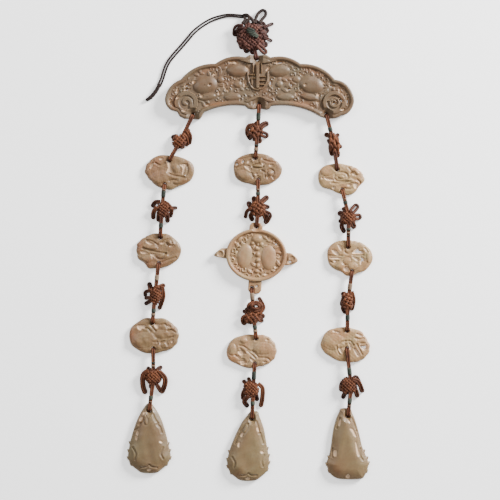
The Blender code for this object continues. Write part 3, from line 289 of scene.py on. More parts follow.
def plate(name, outline, openings, heightAt, place, turn, settings):
    # A square grid over the plan. A point's distance to the nearest edge, outline or opening,
    # decides what is kept, and points on the border slide onto that edge. The front is heightAt
    # rounded off at the edge as a quarter circle, and the back is flat and rounded the same way.
    # Windows are sunk to a floor with sloped sides, which the finish paints pale as light showing
    # through. The points carry a colour for the finish: recess (dirt and painted shade), crest (wear
    # and painted highlight), stain and window (painted light).
    step = settings["step"]
    loops = outline if isinstance(outline, list) else [outline]
    everyPoint = np.vstack(loops)
    low, high = everyPoint.min(0) - 2 * step, everyPoint.max(0) + 2 * step
    xs = np.arange(low[0], high[0], step)
    ys = np.arange(low[1], high[1], step)
    x, y = np.meshgrid(xs, ys)
    outer = np.maximum.reduce([loopDistance(x, y, loop) for loop in loops])
    edge = outer
    for row in openings:
        if np.ndim(row) == 2:
            edge = np.minimum(edge, -loopDistance(x, y, row))
        else:
            edge = np.minimum(edge, ellipseDistance(x, y, row))
    middle = (edge[:-1, :-1] + edge[1:, :-1] + edge[:-1, 1:] + edge[1:, 1:]) / 4
    keep = np.pad(middle > 0, 1)
    for _ in range(4):  # cells that touch only at a corner get a third one beside them
        a, b, c, d = corners(keep)
        rising, falling = a & b & ~c & ~d, c & d & ~a & ~b
        keep[:-1, 1:] |= rising
        keep[:-1, :-1] |= falling
    used = np.any(corners(keep), 0)
    border = used & ~np.all(corners(keep), 0)
    gradY, gradX = np.gradient(edge, step)
    size = np.maximum(np.hypot(gradX, gradY), 0.3)
    slide = np.clip(edge, -0.75 * step, 0.75 * step) * border
    px, py = x - slide * gradX / size, y - slide * gradY / size
    inward = np.where(border, 0, np.maximum(edge, 0))
    level = heightAt(px, py, np.maximum(outer, 0))
    thin = np.zeros_like(x)
    for row in settings["windows"]:
        away = loopDistance(px, py, row) if np.ndim(row) == 2 else -ellipseDistance(px, py, row)
        thin = np.maximum(thin, np.clip(away / carving["windowSlope"] + carving["windowStart"], 0, 1))
    thin = eased(thin)
    front = level - settings["sink"] * thin - roundFall(inward, settings["edgeRound"])
    back = roundFall(inward, settings["backRound"])
    mean = blurred(level, settings["blur"])
    # recess marks hollows below the local mean, which the finish darkens: partly dirt, partly painted shade
    recess = np.clip((mean - level) / settings["recessDepth"], 0, 1)
    # crest marks raised parts, and below it worn edges, which the finish lightens: partly wear, partly painted
    # highlight
    wearAndHighlight = np.clip((level - mean) / settings["recessDepth"], 0, 1)
    edgeWearAndHighlight = np.clip(1 - inward / settings["edgeRound"], 0, 1) * carving["wornEdgeSheen"]
    wearAndHighlight = np.maximum(wearAndHighlight, edgeWearAndHighlight)
    stain = np.zeros_like(x)
    for cx, cy, length, width, lean, strength in settings["stains"]:
        u, v = turned(px - cx, py - cy, lean)
        stain += strength * np.exp(-(u / length) ** 2 - (v / width) ** 2)
    index = np.full(x.shape, -1)
    index[used] = np.arange(used.sum())
    total = int(used.sum())
    cells = keep[1:-1, 1:-1]
    r, c = np.nonzero(cells)
    top = np.stack([index[r, c], index[r, c + 1], index[r + 1, c + 1], index[r + 1, c]], -1)
    walls = []
    for dr, dc, p, q in ((-1, 0, (0, 0), (0, 1)), (0, 1, (0, 1), (1, 1)),
                         (1, 0, (1, 1), (1, 0)), (0, -1, (1, 0), (0, 0))):
        bare = cells & ~keep[1 + dr:keep.shape[0] - 1 + dr, 1 + dc:keep.shape[1] - 1 + dc]
        r, c = np.nonzero(bare)
        a, b = index[r + p[0], c + p[1]], index[r + q[0], c + q[1]]
        walls.append(np.stack([a + total, b + total, b, a], -1))
    quads = np.vstack([top, top[:, ::-1] + total] + walls)
    wx, wy = turnedOut(px[used], py[used], turn, place)
    verts = np.vstack([np.stack([wx, wy, front[used]], 1), np.stack([wx, wy, back[used]], 1)])
    data = newMesh(name, verts, quads)
    data.set_sharp_from_angle(angle=math.radians(carving["sharpAngle"]))
    colour = data.color_attributes.new("carving", "FLOAT_COLOR", "POINT")
    values = np.zeros((2 * total, 4), np.float32)
    values[:total, 0], values[:total, 1] = recess[used], wearAndHighlight[used]
    values[:total, 2] = np.clip(stain, 0, 1)[used]
    values[total:, 2] = values[:total, 2]
    # window share: the finish paints these sunk floors pale as light showing through
    values[:total, 3] = thin[used]
    colour.data.foreach_set("color", values.ravel())
    return data


land = {"halfWidth": 0.0019, "level": 0.0043, "slope": 0.85}
holeRadius = 0.00155


def cordChannel(points, reach):
    # A cord's channel from each hole out past the edge.
    return [(np.array(p), np.array(p) + np.array((0, r))) for p, r in zip(points, reach)]


def landLevel(level, x, y, lands):
    # Thins the jade to a shallow channel where a cord crosses its edge.
    for start, end in lands:
        away = lineDistance(x, y, [start, end]) - land["halfWidth"]
        level = np.minimum(level, land["level"] + land["slope"] * np.maximum(away, 0))
    return level


def curl(level, x, y, row, rise):
    # A vine curl: a ridge on a spiral whose arm winds in by 0.7 of its radius in one turn, round
    # a sunk eye. Row: centre, radius, turn, hand.
    u, v = x - row[0], y - row[1]
    r = np.hypot(u, v)
    around = np.mod(np.arctan2(v, u) * row[4] - row[3], 2 * np.pi) / (2 * np.pi)
    arm = row[2] * (0.3 + 0.7 * around)
    body = np.exp(-((r - arm) / (0.19 * row[2])) ** 2) * (r < 1.3 * row[2])
    eye = np.exp(-(r / (0.26 * row[2])) ** 2)
    return level + rise * body - 0.7 * rise * eye


def leaf(level, x, y, row, rise):
    # A pointed leaf: a dome whose half width shrinks to both tips, with a sunk middle vein. Row:
    # centre, half length, half width, turn.
    u, v = turned(x - row[0], y - row[1], row[4])
    width = row[3] * np.maximum(1 - (u / row[2]) ** 2, 1e-3)
    dome = np.sqrt(np.maximum(1 - (v / width) ** 2, 0)) * (np.abs(u) < row[2])
    vein = np.exp(-(v / (0.16 * row[3])) ** 2) * dome
    return level + rise * (dome - 0.55 * vein)


def foliage(x, y, mask, settings):
    # Rows of curls and leaves, each a little off its place, size and direction, with small pits
    # between them. Each is worked out only on its own window of the grid.
    shape = np.zeros_like(x)
    draw = np.random.default_rng(settings["seed"])
    pitch, rise = settings["pitch"], settings["rise"]
    x0, y0 = x.min(), y.min()
    step = x[0, 1] - x[0, 0]
    for row, cy in enumerate(np.arange(y.min(), y.max(), pitch * 0.86)):
        for cx in np.arange(x.min(), x.max(), pitch) + (row % 2) * pitch / 2:
            px, py = (cx, cy) + draw.uniform(-0.24, 0.24, 2) * pitch
            size = pitch * draw.uniform(0.42, 0.62)
            kind, spin = draw.uniform(), draw.uniform(0, 360)
            j, i = int(round((py - y0) / step)), int(round((px - x0) / step))
            if not (0 <= j < x.shape[0] and 0 <= i < x.shape[1]) or mask[j, i] < 0.5:
                continue
            reach = int(1.4 * size / step) + 2
            w = (slice(max(j - reach, 0), j + reach), slice(max(i - reach, 0), i + reach))
            part = np.zeros_like(x[w])
            if kind < settings["curls"]:
                row = (px, py, size * 0.8, math.radians(spin), 1 if spin > 180 else -1)
                part = curl(part, x[w], y[w], row, rise)
            else:
                part = leaf(part, x[w], y[w], (px, py, size * 1.15, size * 0.5, spin), rise)
            shape[w] = np.where(np.abs(part) > np.abs(shape[w]), part, shape[w])
            pitX, pitY = px + pitch * 0.5, py + pitch * 0.25
            pit = np.exp(-((x[w] - pitX) ** 2 + (y[w] - pitY) ** 2) / (0.17 * pitch) ** 2)
            shape[w] -= settings["pit"] * pit * (kind > 0.35)
    return shape * mask


def noiseField(x, y, wave, seed):
    # A soft uneven field, mostly between -1 and 1: eight crossed waves of random direction,
    # length and phase.
    draw = np.random.default_rng(seed)
    total = np.zeros_like(x)
    for _ in range(8):
        a, phase, stretch = draw.uniform(0, 2 * np.pi), draw.uniform(0, 6.28), draw.uniform(0.6, 1.7)
        total += np.sin((x * math.cos(a) + y * math.sin(a)) * 2 * np.pi * stretch / wave + phase)
    return total / 4


def raisedRim(level, inward, settings, where=1):
    # Blends the edge into a rim of its own height, crowned across its width as a half sine.
    rim = eased(np.clip((settings["rim"] - inward) / 0.0014 + 0.6, 0, 1)) * where
    crown = settings["rimRise"] + settings["rimCrown"] * np.sin(np.clip(inward / settings["rim"], 0, 1) * np.pi)
    return level * (1 - rim) + crown * rim


# Materials

def addNode(nodes, kind, **values):
    # A node with its settings and socket values given by name.
    node = nodes.new(kind)
    for key, value in values.items():
        if hasattr(node, key):
            setattr(node, key, value)
        else:
            node.inputs[key.replace("_", " ")].default_value = value
    return node


def feed(links, socket, value):
    # A socket takes a plain value or a link.
    if isinstance(value, (int, float, tuple)):
        socket.default_value = value
    else:
        links.new(value, socket)


def mixColour(nodes, links, factor, first, second, blend="MIX"):
    node = addNode(nodes, "ShaderNodeMix", data_type="RGBA", blend_type=blend)
    for socket, value in zip((node.inputs["Factor"], *node.inputs[6:8]), (factor, first, second)):
        feed(links, socket, value)
    return node.outputs[2]


def mathNode(nodes, links, operation, *values, clamp=False):
    node = addNode(nodes, "ShaderNodeMath", operation=operation, use_clamp=clamp)
    for socket, value in zip(node.inputs, values):
        feed(links, socket, value)
    return node.outputs[0]


def noiseNode(nodes, links, where, **values):
    node = addNode(nodes, "ShaderNodeTexNoise", **values)
    links.new(where, node.inputs["Vector"])
    return node.outputs["Fac"]


def readColour(nodes, links, name):
    # A colour attribute's three channels and its alpha.
    node = addNode(nodes, "ShaderNodeAttribute", attribute_name=name)
    parts = nodes.new("ShaderNodeSeparateColor")
    links.new(node.outputs["Color"], parts.inputs[0])
    return (*parts.outputs, node.outputs["Alpha"])


def newGroup(name, colours, numbers, outputs):
    # An empty node group with colour inputs, number inputs and named outputs.
    group = bpy.data.node_groups.new(name, "ShaderNodeTree")
    for label in colours:
        group.interface.new_socket(label, in_out="INPUT", socket_type="NodeSocketColor")
    for label in numbers:
        group.interface.new_socket(label, in_out="INPUT", socket_type="NodeSocketFloat")
    for label in outputs:
        kind = "NodeSocketColor" if label == "Color" else "NodeSocketFloat"
        group.interface.new_socket(label, in_out="OUTPUT", socket_type=kind)
    given, out = group.nodes.new("NodeGroupInput"), group.nodes.new("NodeGroupOutput")
    return group, group.nodes, group.links, given.outputs, out.inputs


def jadeGroup():
    # Clouded stone: soft noises blend the pale, warm and dark tones; carved recesses are darkened,
    # partly as dirt and partly as painted shade, crests and worn edges are paler, partly wear and
    # partly painted highlight, stain spots turn rusty and sunk windows show a pale tone painted as
    # light showing through them.
    group, nodes, links, given, out = newGroup(
        "cloudedJade", ("Pale", "Warm", "Deep", "Thin", "Rust"), ("Cloud Scale", "Dirt", "Roughness"),
        ("Color", "Roughness", "Height"))
    maths, mix = partial(mathNode, nodes, links), partial(mixColour, nodes, links)
    where = nodes.new("ShaderNodeTexCoord").outputs["Object"]
    recess, wearAndHighlight, stain, litWindow = readColour(nodes, links, "carving")
    cloud = noiseNode(nodes, links, where, Detail=5.0, Roughness=0.62, Distortion=0.6)
    links.new(given["Cloud Scale"], cloud.node.inputs["Scale"])
    fine = noiseNode(nodes, links, where, Scale=520.0, Detail=4.0, Roughness=0.7)
    grain = noiseNode(nodes, links, where, Scale=2400.0, Detail=2.0)
    clouds = maths("MULTIPLY_ADD", cloud, 2.4, -0.72, clamp=True)
    body = mix(clouds, given["Pale"], given["Warm"])
    fleck = maths("MULTIPLY_ADD", fine, 2.2, -1.0, clamp=True)
    body = mix(maths("MULTIPLY", fleck, 0.35), body, given["Deep"])
    rust = maths("MULTIPLY", maths("MULTIPLY_ADD", fine, 1.2, 0.3), stain, clamp=True)
    body = mix(rust, body, given["Rust"])
    # recesses are darkened towards the deep tone: partly dirt, partly painted shade
    dirtAndShade = maths("MULTIPLY", maths("POWER", recess, 0.8), given["Dirt"], clamp=True)
    body = mix(dirtAndShade, body, given["Deep"])
    # crests and worn edges are screened paler: partly wear, partly painted highlight
    body = mix(maths("MULTIPLY", wearAndHighlight, 0.14), body, given["Pale"], "SCREEN")
    # sunk windows take the pale window tone, painted light showing through the jade
    links.new(mix(litWindow, body, given["Thin"]), out["Color"])
    rough = maths("MULTIPLY_ADD", fine, 0.16, given["Roughness"])
    links.new(maths("MULTIPLY_ADD", recess, 0.3, rough), out["Roughness"])
    links.new(maths("MULTIPLY_ADD", grain, 0.3, fine), out["Height"])
    return group


def silkGroup():
    # Braided silk: two families of slanting threads cross round the cord, read from the UV map
    # as turns round it and length along it; a slow noise fades the dye, and gaps between threads and
    # low places are darkened towards the shade tone as painted shade.
    group, nodes, links, given, out = newGroup(
        "braidedSilk", ("Dyed", "Faded", "Soot"), ("Pitch", "Threads", "Gap"), ("Color", "Height"))
    maths, mix = partial(mathNode, nodes, links), partial(mixColour, nodes, links)
    uvMap = addNode(nodes, "ShaderNodeUVMap", uv_map="UVMap")
    split = nodes.new("ShaderNodeSeparateXYZ")
    links.new(uvMap.outputs[0], split.inputs[0])
    around = maths("MULTIPLY", split.outputs[0], given["Threads"])
    along = maths("DIVIDE", split.outputs[1], given["Pitch"])
    waves = []
    for sign in (1.0, -1.0):
        turn = maths("MULTIPLY", maths("MULTIPLY_ADD", along, sign, around), 2 * math.pi)
        waves.append(maths("SINE", turn))
    weave = maths("MULTIPLY_ADD", maths("MAXIMUM", *waves), 0.5, 0.5)
    where = nodes.new("ShaderNodeTexCoord").outputs["Object"]
    fade = noiseNode(nodes, links, where, Scale=260.0, Detail=5.0, Roughness=0.65)
    fuzz = noiseNode(nodes, links, where, Scale=3500.0, Detail=2.0)
    faded, light, _, _ = readColour(nodes, links, "dye")
    share = maths("ADD", maths("MULTIPLY_ADD", fade, 2.2, -1.3), faded, clamp=True)
    body = mix(share, given["Dyed"], given["Faded"])
    # low places are darkened towards the shade tone as painted shade
    low = maths("MULTIPLY", maths("SUBTRACT", 1.0, light), 0.6, clamp=True)
    body = mix(low, body, given["Soot"])
    # gaps between the threads are darkened towards the shade tone as painted shade
    gapShade = maths("MULTIPLY", maths("SUBTRACT", 1.0, weave), given["Gap"], clamp=True)
    links.new(mix(gapShade, body, given["Soot"]), out["Color"])
    links.new(maths("MULTIPLY_ADD", fuzz, 0.25, weave), out["Height"])
    return group


def finish(name, group, tones, bump, sockets):
    # A material whose shader takes colour, height and perhaps roughness from a group, and its
    # plain values on its own sockets.
    made = bpy.data.materials.new(name)
    made.use_nodes = True
    nodes, links = made.node_tree.nodes, made.node_tree.links
    shader = nodes["Principled BSDF"]
    layer = addNode(nodes, "ShaderNodeGroup", node_tree=group)
    for label, value in tones.items():
        layer.inputs[label].default_value = (*value, 1) if isinstance(value, tuple) else value
    relief = addNode(nodes, "ShaderNodeBump", **bump)
    links.new(layer.outputs["Color"], shader.inputs["Base Color"])
    if "Roughness" in layer.outputs:
        links.new(layer.outputs["Roughness"], shader.inputs["Roughness"])
    links.new(layer.outputs["Height"], relief.inputs["Height"])
    links.new(relief.outputs["Normal"], shader.inputs["Normal"])
    for label, value in sockets.items():
        shader.inputs[label].default_value = value
    return made


jadeBump = {"Strength": 0.12, "Distance": 0.0004}
jadeSockets = {"Subsurface Weight": 0.25, "Subsurface Radius": (1.0, 0.75, 0.5), "Subsurface Scale": 0.0018,
               "Coat Weight": 0.06, "Coat Roughness": 0.12, "IOR": 1.6, "Specular IOR Level": 0.34}
# each finish's pale window tone is painted into sunk windows as light showing through
dropTones = {
    "Pale": (0.166, 0.123, 0.056), "Warm": (0.146, 0.078, 0.034), "Deep": (0.082, 0.041, 0.016),
    "Thin": (0.520, 0.350, 0.215), "Rust": (0.199, 0.091, 0.036),
    "Cloud Scale": 30.0, "Dirt": 0.5, "Roughness": 0.42}
jadeFinishes = {
    "plaque": {
        "Pale": (0.101, 0.073, 0.039), "Warm": (0.095, 0.045, 0.018), "Deep": (0.072, 0.038, 0.018),
        "Thin": (0.430, 0.275, 0.160), "Rust": (0.175, 0.072, 0.026),
        "Cloud Scale": 46.0, "Dirt": 0.5, "Roughness": 0.46},
    "oval": {
        "Pale": (0.166, 0.110, 0.048), "Warm": (0.164, 0.078, 0.034), "Deep": (0.100, 0.048, 0.019),
        "Thin": (0.500, 0.335, 0.205), "Rust": (0.185, 0.074, 0.030),
        "Cloud Scale": 60.0, "Dirt": 0.5, "Roughness": 0.44},
    "paleOval": {
        "Pale": (0.270, 0.187, 0.085), "Warm": (0.284, 0.140, 0.060), "Deep": (0.135, 0.060, 0.021),
        "Thin": (0.620, 0.440, 0.290), "Rust": (0.275, 0.125, 0.052),
        "Cloud Scale": 55.0, "Dirt": 0.5, "Roughness": 0.44},
    "medallion": {
        "Pale": (0.256, 0.178, 0.088), "Warm": (0.270, 0.129, 0.058), "Deep": (0.135, 0.064, 0.024),
        "Thin": (0.520, 0.345, 0.205), "Rust": (0.276, 0.106, 0.034),
        "Cloud Scale": 60.0, "Dirt": 0.6, "Roughness": 0.44},
    "drop": dropTones,
    "darkDrop": dict(dropTones, Pale=(0.144, 0.107, 0.049), Warm=(0.124, 0.068, 0.031)),
}
jadeChanges = {  # where a stone's shader differs from jadeSockets
    "plaque": {"Subsurface Weight": 0.2, "Coat Weight": 0.05},
    "oval": {"Coat Weight": 0.05}, "paleOval": {"Coat Weight": 0.05},
}
silkBump = {"Strength": 0.7, "Distance": 0.00016}
silkSockets = {"Roughness": 0.7, "Specular IOR Level": 0.22, "Sheen Weight": 0.04, "Sheen Roughness": 0.4,
               "Sheen Tint": (0.9, 0.6, 0.5, 1)}
silkTones = {
    "brown": {"Dyed": (0.044, 0.0120, 0.0050), "Faded": (0.155, 0.050, 0.018),
              "Soot": (0.008, 0.003, 0.002), "Pitch": 0.0016, "Threads": 3.0, "Gap": 0.55},
    "maroon": {"Dyed": (0.031, 0.0085, 0.0060), "Faded": (0.128, 0.049, 0.034),
               "Soot": (0.007, 0.003, 0.002), "Pitch": 0.0018, "Threads": 3.0, "Gap": 0.5},
    "dark": {"Dyed": (0.013, 0.006, 0.004), "Faded": (0.038, 0.018, 0.012),
             "Soot": (0.005, 0.003, 0.003), "Pitch": 0.0016, "Threads": 3.0, "Gap": 0.3},
    "green": {"Dyed": (0.016, 0.022, 0.016), "Faded": (0.062, 0.070, 0.048),
              "Soot": (0.005, 0.007, 0.005), "Pitch": 0.0005, "Threads": 1.0, "Gap": 0.6},
    "cream": {"Dyed": (0.150, 0.098, 0.062), "Faded": (0.300, 0.215, 0.145),
              "Soot": (0.050, 0.028, 0.017), "Pitch": 0.0005, "Threads": 1.0, "Gap": 0.6},
}


stone, braid = jadeGroup(), silkGroup()
jade, silk = {}, {}
for key, tones in jadeFinishes.items():
    sockets = dict(jadeSockets, **jadeChanges.get(key, {}))
    jade[key] = finish("jade_" + key, stone, tones, jadeBump, sockets)
for key, tones in silkTones.items():
    silk[key] = finish("silk_" + key, braid, tones, silkBump, silkSockets)
print("stage: materials")


def shrunk(row, share):
    # The same opening drawn in towards its middle.
    if np.ndim(row) == 2:
        middle = row.mean(0)
        return middle + (row - middle) * share
    return (row[0], row[1], row[2] * share, row[3] * share, row[4])


def scaledRows(rows, scale):
    # Rows on a carving grid as metres: centre and half sizes scale, turn and strength don't. A
    # row of points is a closed shape.
    made = []
    for row in rows:
        if isinstance(row[0], tuple):
            made.append(smoothLine(np.array(row) * scale, 5 * len(row), closed=True))
        else:
            made.append(tuple(v * scale for v in row[:4]) + row[4:])
    return made


def domedFields(u, v, fields):
    # Domes on ellipses: each climbs from its rim as a power of a quarter sine. Also the way in
    # from each rim.
    raised, inward = np.zeros_like(u), []
    for cx, cy, a, b, turn, rise in fields:
        away = -ellipseDistance(u, v, (cx, cy, a, b, turn))
        climb = np.sin(np.clip(away / (0.8 * min(a, b)), 0, 1) * np.pi / 2) ** 0.7
        raised = np.maximum(raised, 0.8 * rise * climb)
        inward.append(away)
    return raised, inward


def addJade(node, outline, heightAt, place, spec, settings, scale, holes, turn=0):
    # One jade as a piece: its windows, pierced openings, cord holes and stains in metres, and its
    # carved plate.
    windows = scaledRows(spec["openings"], scale)
    openings = [shrunk(windows[k], settings["drawnIn"]) for k in spec["pierced"]]
    openings += [(x, y, holeRadius, holeRadius, 0) for x, y in holes]
    rows = {"windows": windows, "stains": scaledRows(spec["stains"], scale)}
    name = node + "_carved"
    data = plate(name, outline, openings, heightAt, place, turn, dict(settings, **rows))
    addPiece(name, data, jade[spec["finish"]], settings["slot"], node)


# Top plaque, on a grid of photograph steps from its own middle
plaqueSettings = {
    "finish": "plaque", "slot": "jade_grey", "step": 0.00040, "edgeRound": 0.0008, "backRound": 0.0006,
    "blur": 7, "recessDepth": 0.0008, "drawnIn": 0.62, "rimCrown": 0.0002, "rimCut": 0.0002,
    "holes": {"left": (-65.0, -9.2), "centre": (1.2, 1.4), "right": (68.4, -9.0), "crown": (-1.1, 46.4)},
    "channel": (-0.009, -0.009, -0.009, 0.009),
    "foliage": {"seed": 7, "pitch": 0.0048, "rise": 0.00064, "curls": 0.6, "pit": 0.0009},
    "uneven": (0.00012, 0.011, 3),
    "stains": ((-50, 35, 9, 2, 20, 0.7), (55, 34, 10, 2.2, -22, 0.8), (-84, 2, 2.5, 9, 0, 0.7),
               (-42, 1.5, 10, 2.2, 8, 0.8), (46, 1.5, 12, 2.2, -8, 0.9), (84, 9, 6, 9, 0, 0.45),
               (30, 26, 12, 4, -10, 0.4), (-28, 22, 10, 6, 0, 0.35)),
    "thick": 0.0075, "ground": 0.0057, "rim": 0.0030, "rimRise": 0.0069, "sink": 0.0011,
    "pierced": (0, 4, 7, 9, 11, 12, 19, 21, 25, 28, 30),
    "leftReach": 93.0, "topReach": 50.3,
    "start": (55.0, -6.9), "arcSteps": 5,
    "arcs": (((62.2, -10.9), 0, 1), ((69.2, -12.9), 0, 1), ((75.5, -12.8), 0, 1), ((83.2, -10.0), -0.6, 1),
             ((93.6, -3.2), -1.6, 2), ((94.0, 12.6), -2.2, 3), ((76.9, 25.8), -3.2, 3),
             ((42.5, 41.6), -4.7, 5), ((12.5, 48.0), -3.6, 4), ((8.8, 50.3), 0, 1),
             ((-8.8, 50.3), 0, 1), ((-12.5, 48.0), 0, 1), ((-42.7, 41.7), -3.6, 4),
             ((-77.0, 26.0), -4.7, 5), ((-93.0, 6.7), -3.6, 3), ((-87.2, -4.4), -1.8, 2),
             ((-81.0, -6.2), 0, 1), ((-78.6, -10.6), 0, 1), ((-73.9, -13.1), 0, 1), ((-67.8, -13.0), 0, 1),
             ((-59.5, -14.1), 0, 1), ((-56.0, -10.4), -0.6, 1), ((-54.1, -6.8), 0, 1),
             ((-13.0, -0.3), 3.1, 5), ((-10.4, -3.0), 0, 1), ((-6.3, -3.9), 0, 1), ((2.4, -2.8), 0, 1),
             ((8.6, -4.3), 0, 1), ((11.8, -2.8), 0, 1), ((13.0, -0.4), 0, 1), ((55.0, -6.9), 3.1, 5)),
    "fields": ((21, 34.5, 10.8, 6.4, 4, 0.0021), (-21, 34.5, 10.8, 6.4, -4, 0.0021),
               (53, 20.6, 12.4, 8.6, -14, 0.0022), (-53, 20.4, 12.2, 8.6, 14, 0.0022),
               (51, 8.2, 9.2, 3.6, -10, 0.0015), (-51, 8.4, 8.8, 3.8, 10, 0.0015),
               (27, 8.2, 9.0, 4.0, -4, 0.0016), (-26, 8.3, 8.4, 4.4, 4, 0.0016),
               (38, 25.8, 4.2, 3.4, 0, 0.0012), (-37.5, 25.6, 3.6, 3.2, 0, 0.0012),
               (21, 21.2, 3.6, 3.6, 0, 0.0013), (-20.5, 21.0, 4.2, 3.8, 0, 0.0013)),
    "openings": ((22, 42.8, 4.6, 0.9, 4), (-25, 43, 4.4, 0.9, -6), (10, 36.6, 2.2, 0.8, 50),
                 (-10.6, 37, 2.2, 0.8, -50), (12.4, 22.6, 3.4, 0.9, 98), (-13, 22, 3.2, 0.9, 82),
                 (66.2, 23, 1.4, 1.2, 0), (73.2, 19.3, 2.2, 0.9, -30), (81.6, 15, 2.4, 0.9, 90),
                 (83.2, 4.9, 2.3, 1.0, -40), (84.4, -4.1, 1.7, 0.9, 10), (89.3, 4, 3.4, 0.7, 90),
                 (76, 2.2, 1.9, 0.8, 0), (60.1, 10.4, 1.4, 1.1, 0), (47.2, 20.4, 1.1, 1.1, 0),
                 (43, 15.6, 1.1, 0.9, 0), (59.8, 3, 1.5, 1.0, 0), (55.7, -1.8, 1.4, 0.8, 20),
                 (-64, 23.4, 1.5, 1.1, 30), (-71.5, 19.7, 2.0, 0.9, 30), (-80.6, 14.7, 2.2, 0.8, 80),
                 (-70.6, 15.9, 3.0, 0.6, 8), (-80, 7.8, 1.8, 0.7, 35), (-56.3, 9.2, 1.4, 1.0, 0),
                 (-50.3, 0.3, 1.6, 0.8, 10), (-48, 20.4, 1.2, 1.0, 0), (-88, 4, 3.0, 0.7, 90),
                 (-73.9, -5.4, 2.0, 0.7, -10), (31, 16, 2.0, 0.8, 30), (-31, 15.5, 2.0, 0.8, -30),
                 (33.4, 20.4, 2.2, 0.8, 110), (-33, 20, 2.0, 0.8, 70), (43.4, 31, 2.2, 0.8, -35),
                 (-43.4, 31, 2.2, 0.8, 35), (38.6, 11.6, 1.5, 1.0, 90), (-38.8, 12, 1.5, 1.0, 90)),
}
scroll = {"y": 2.7, "reach": 11.5, "band": 9.6, "bandWidth": 2.3, "bandRise": 0.0017, "coilReach": 7.6,
          "coilRise": 0.0011, "ends": ((76.2, 1, 0.4, 0.0006), (-71.6, -1, 2.2, 0.0010))}
column = {
    "swag": ((-17, 47.4), (-10, 43.7), (-0.7, 41.7), (8, 43.7), (13, 47.3)),
    "arch": ((-14, 1.6), (-8.6, 5.4), (-0.7, 7.6), (9, 5.6), (16.7, 2.6)),
    "bandWidth": 1.7, "bandRise": 0.0027, "topBed": 0.0012, "footBed": 0.0004, "footLobe": 0.0009,
    "shield": ((-10.4, 33), (-9.8, 25.9), (-7.9, 20.8), (-5.5, 17.2), (-0.7, 15.8), (4.8, 17.4), (8, 21.6),
               (9.5, 26.3), (9.8, 33)),
    "shieldRise": 0.0015,
    "panel": ((-9.6, 42), (-9.6, 26), (-7.6, 20.8), (-5, 17.4), (-0.7, 16), (4.6, 17.6), (7.8, 21.8),
              (9.2, 26), (9.4, 42)),
    "panelSunk": 0.0004,
    "frets": (((-0.35, 18.8), (-0.35, 40.4), 1.9, 0.0026), ((-4.7, 33), (-4.7, 42.5), 0.8, 0.0019),
              ((-9, 30.3), (-3.6, 30.3), 0.7, 0.0018), ((3.4, 33), (3.4, 42), 0.8, 0.0018),
              ((2.4, 28.4), (7.6, 28.4), 0.7, 0.0018), ((2.4, 24.4), (7.0, 24.4), 0.7, 0.0018),
              ((2.4, 20.6), (6.6, 20.6), 0.7, 0.0018), ((-6.2, 20.6), (-6.2, 27), 0.8, 0.0018),
              ((-6.2, 27), (-2.8, 27), 0.7, 0.0018)),
}


def scrollLevel(u, v, cx, side, lead, bed):
    # An end scroll: a round band with a coil inside. The right coil is two rings and a bar, the
    # left one a single broad turn.
    r = np.hypot(u - cx, v - scroll["y"])
    spin = np.mod(np.arctan2(v - scroll["y"], (u - cx) * side) + lead, 2 * np.pi) / (2 * np.pi)
    if side > 0:
        coil = np.maximum(ridge(r - 4.4, 1.1), ridge(r - (1.0 + 3.0 * spin), 0.9))
        coil = np.maximum(coil, ridge(v - 5.6 - 0.2 * (u - cx), 0.8) * (r < 7))
    else:
        coil = np.sqrt(ridge(r - (0.6 + 5.2 * spin), 1.9))
    band = scroll["bandRise"] * np.sqrt(ridge(r - scroll["band"], scroll["bandWidth"]))
    return r, (r < 11.6) * (bed + band + scroll["coilRise"] * coil * (r < scroll["coilReach"]))


def columnLevel(level, u, v, ground):
    # The middle: a swag above, an arch with two lobes below, a sunk panel in a shield line, and
    # straight frets with steep sides.
    c = column
    swag, arch = (lineDistance(u, v, smoothLine(c[key], 24)) for key in ("swag", "arch"))
    level = np.where(v > 41 + (u / 9) ** 2, ground + c["topBed"], level)
    under = (arch > 1.0) & (v < 7.6 - (u / 7.6) ** 2) & (np.abs(u) < 16)
    level = np.where(under, ground + c["footBed"] + c["footLobe"] * ridge(np.abs(u) - 8, 2.4), level)
    for line in (swag, arch):
        level = np.maximum(level, ground + c["bandRise"] * np.sqrt(ridge(line, c["bandWidth"])))
    panel = loopDistance(u, v, np.array(c["panel"]))
    level = np.where(panel > 0, ground - c["panelSunk"], level)
    shield = lineDistance(u, v, smoothLine(c["shield"], 40))
    level = np.maximum(level, ground + c["shieldRise"] * np.sqrt(ridge(shield, 1.0)))
    for start, end, width, rise in c["frets"]:
        bar = lineDistance(u, v, (start, end))
        level = np.maximum(level, ground + rise * np.clip((width - bar) / 0.5, 0, 1))
    return level


def plaqueHeight(x, y, outer):
    # Foliage between domed fields and the end scrolls, the middle column, and a raised rim with a
    # line cut inside it.
    s = plaqueSettings
    u, v = x / unit, y / unit
    dome, inward = domedFields(u, v, s["fields"])
    fieldShare = np.clip(np.max(inward, 0) / 0.9 + 0.6, 0, 1)
    mask = np.clip((outer - 0.0030) / 0.0006, 0, 1) * (1 - fieldShare)
    scrolls = np.zeros_like(x)
    for row in scroll["ends"]:
        r, raised = scrollLevel(u, v, *row)
        mask = mask * np.clip(r - scroll["reach"], 0, 1)
        scrolls = np.maximum(scrolls, raised)
    level = s["ground"] + foliage(x, y, mask, s["foliage"]) + dome + scrolls
    level = columnLevel(level, u, v, s["ground"])
    strength, wave, seed = s["uneven"]
    level = raisedRim(level + strength * noiseField(x, y, wave, seed), outer, s)
    level = level - s["rimCut"] * np.exp(-((outer - s["rim"] + 0.0002) / 0.0003) ** 2)
    return np.minimum(level, s["thick"])


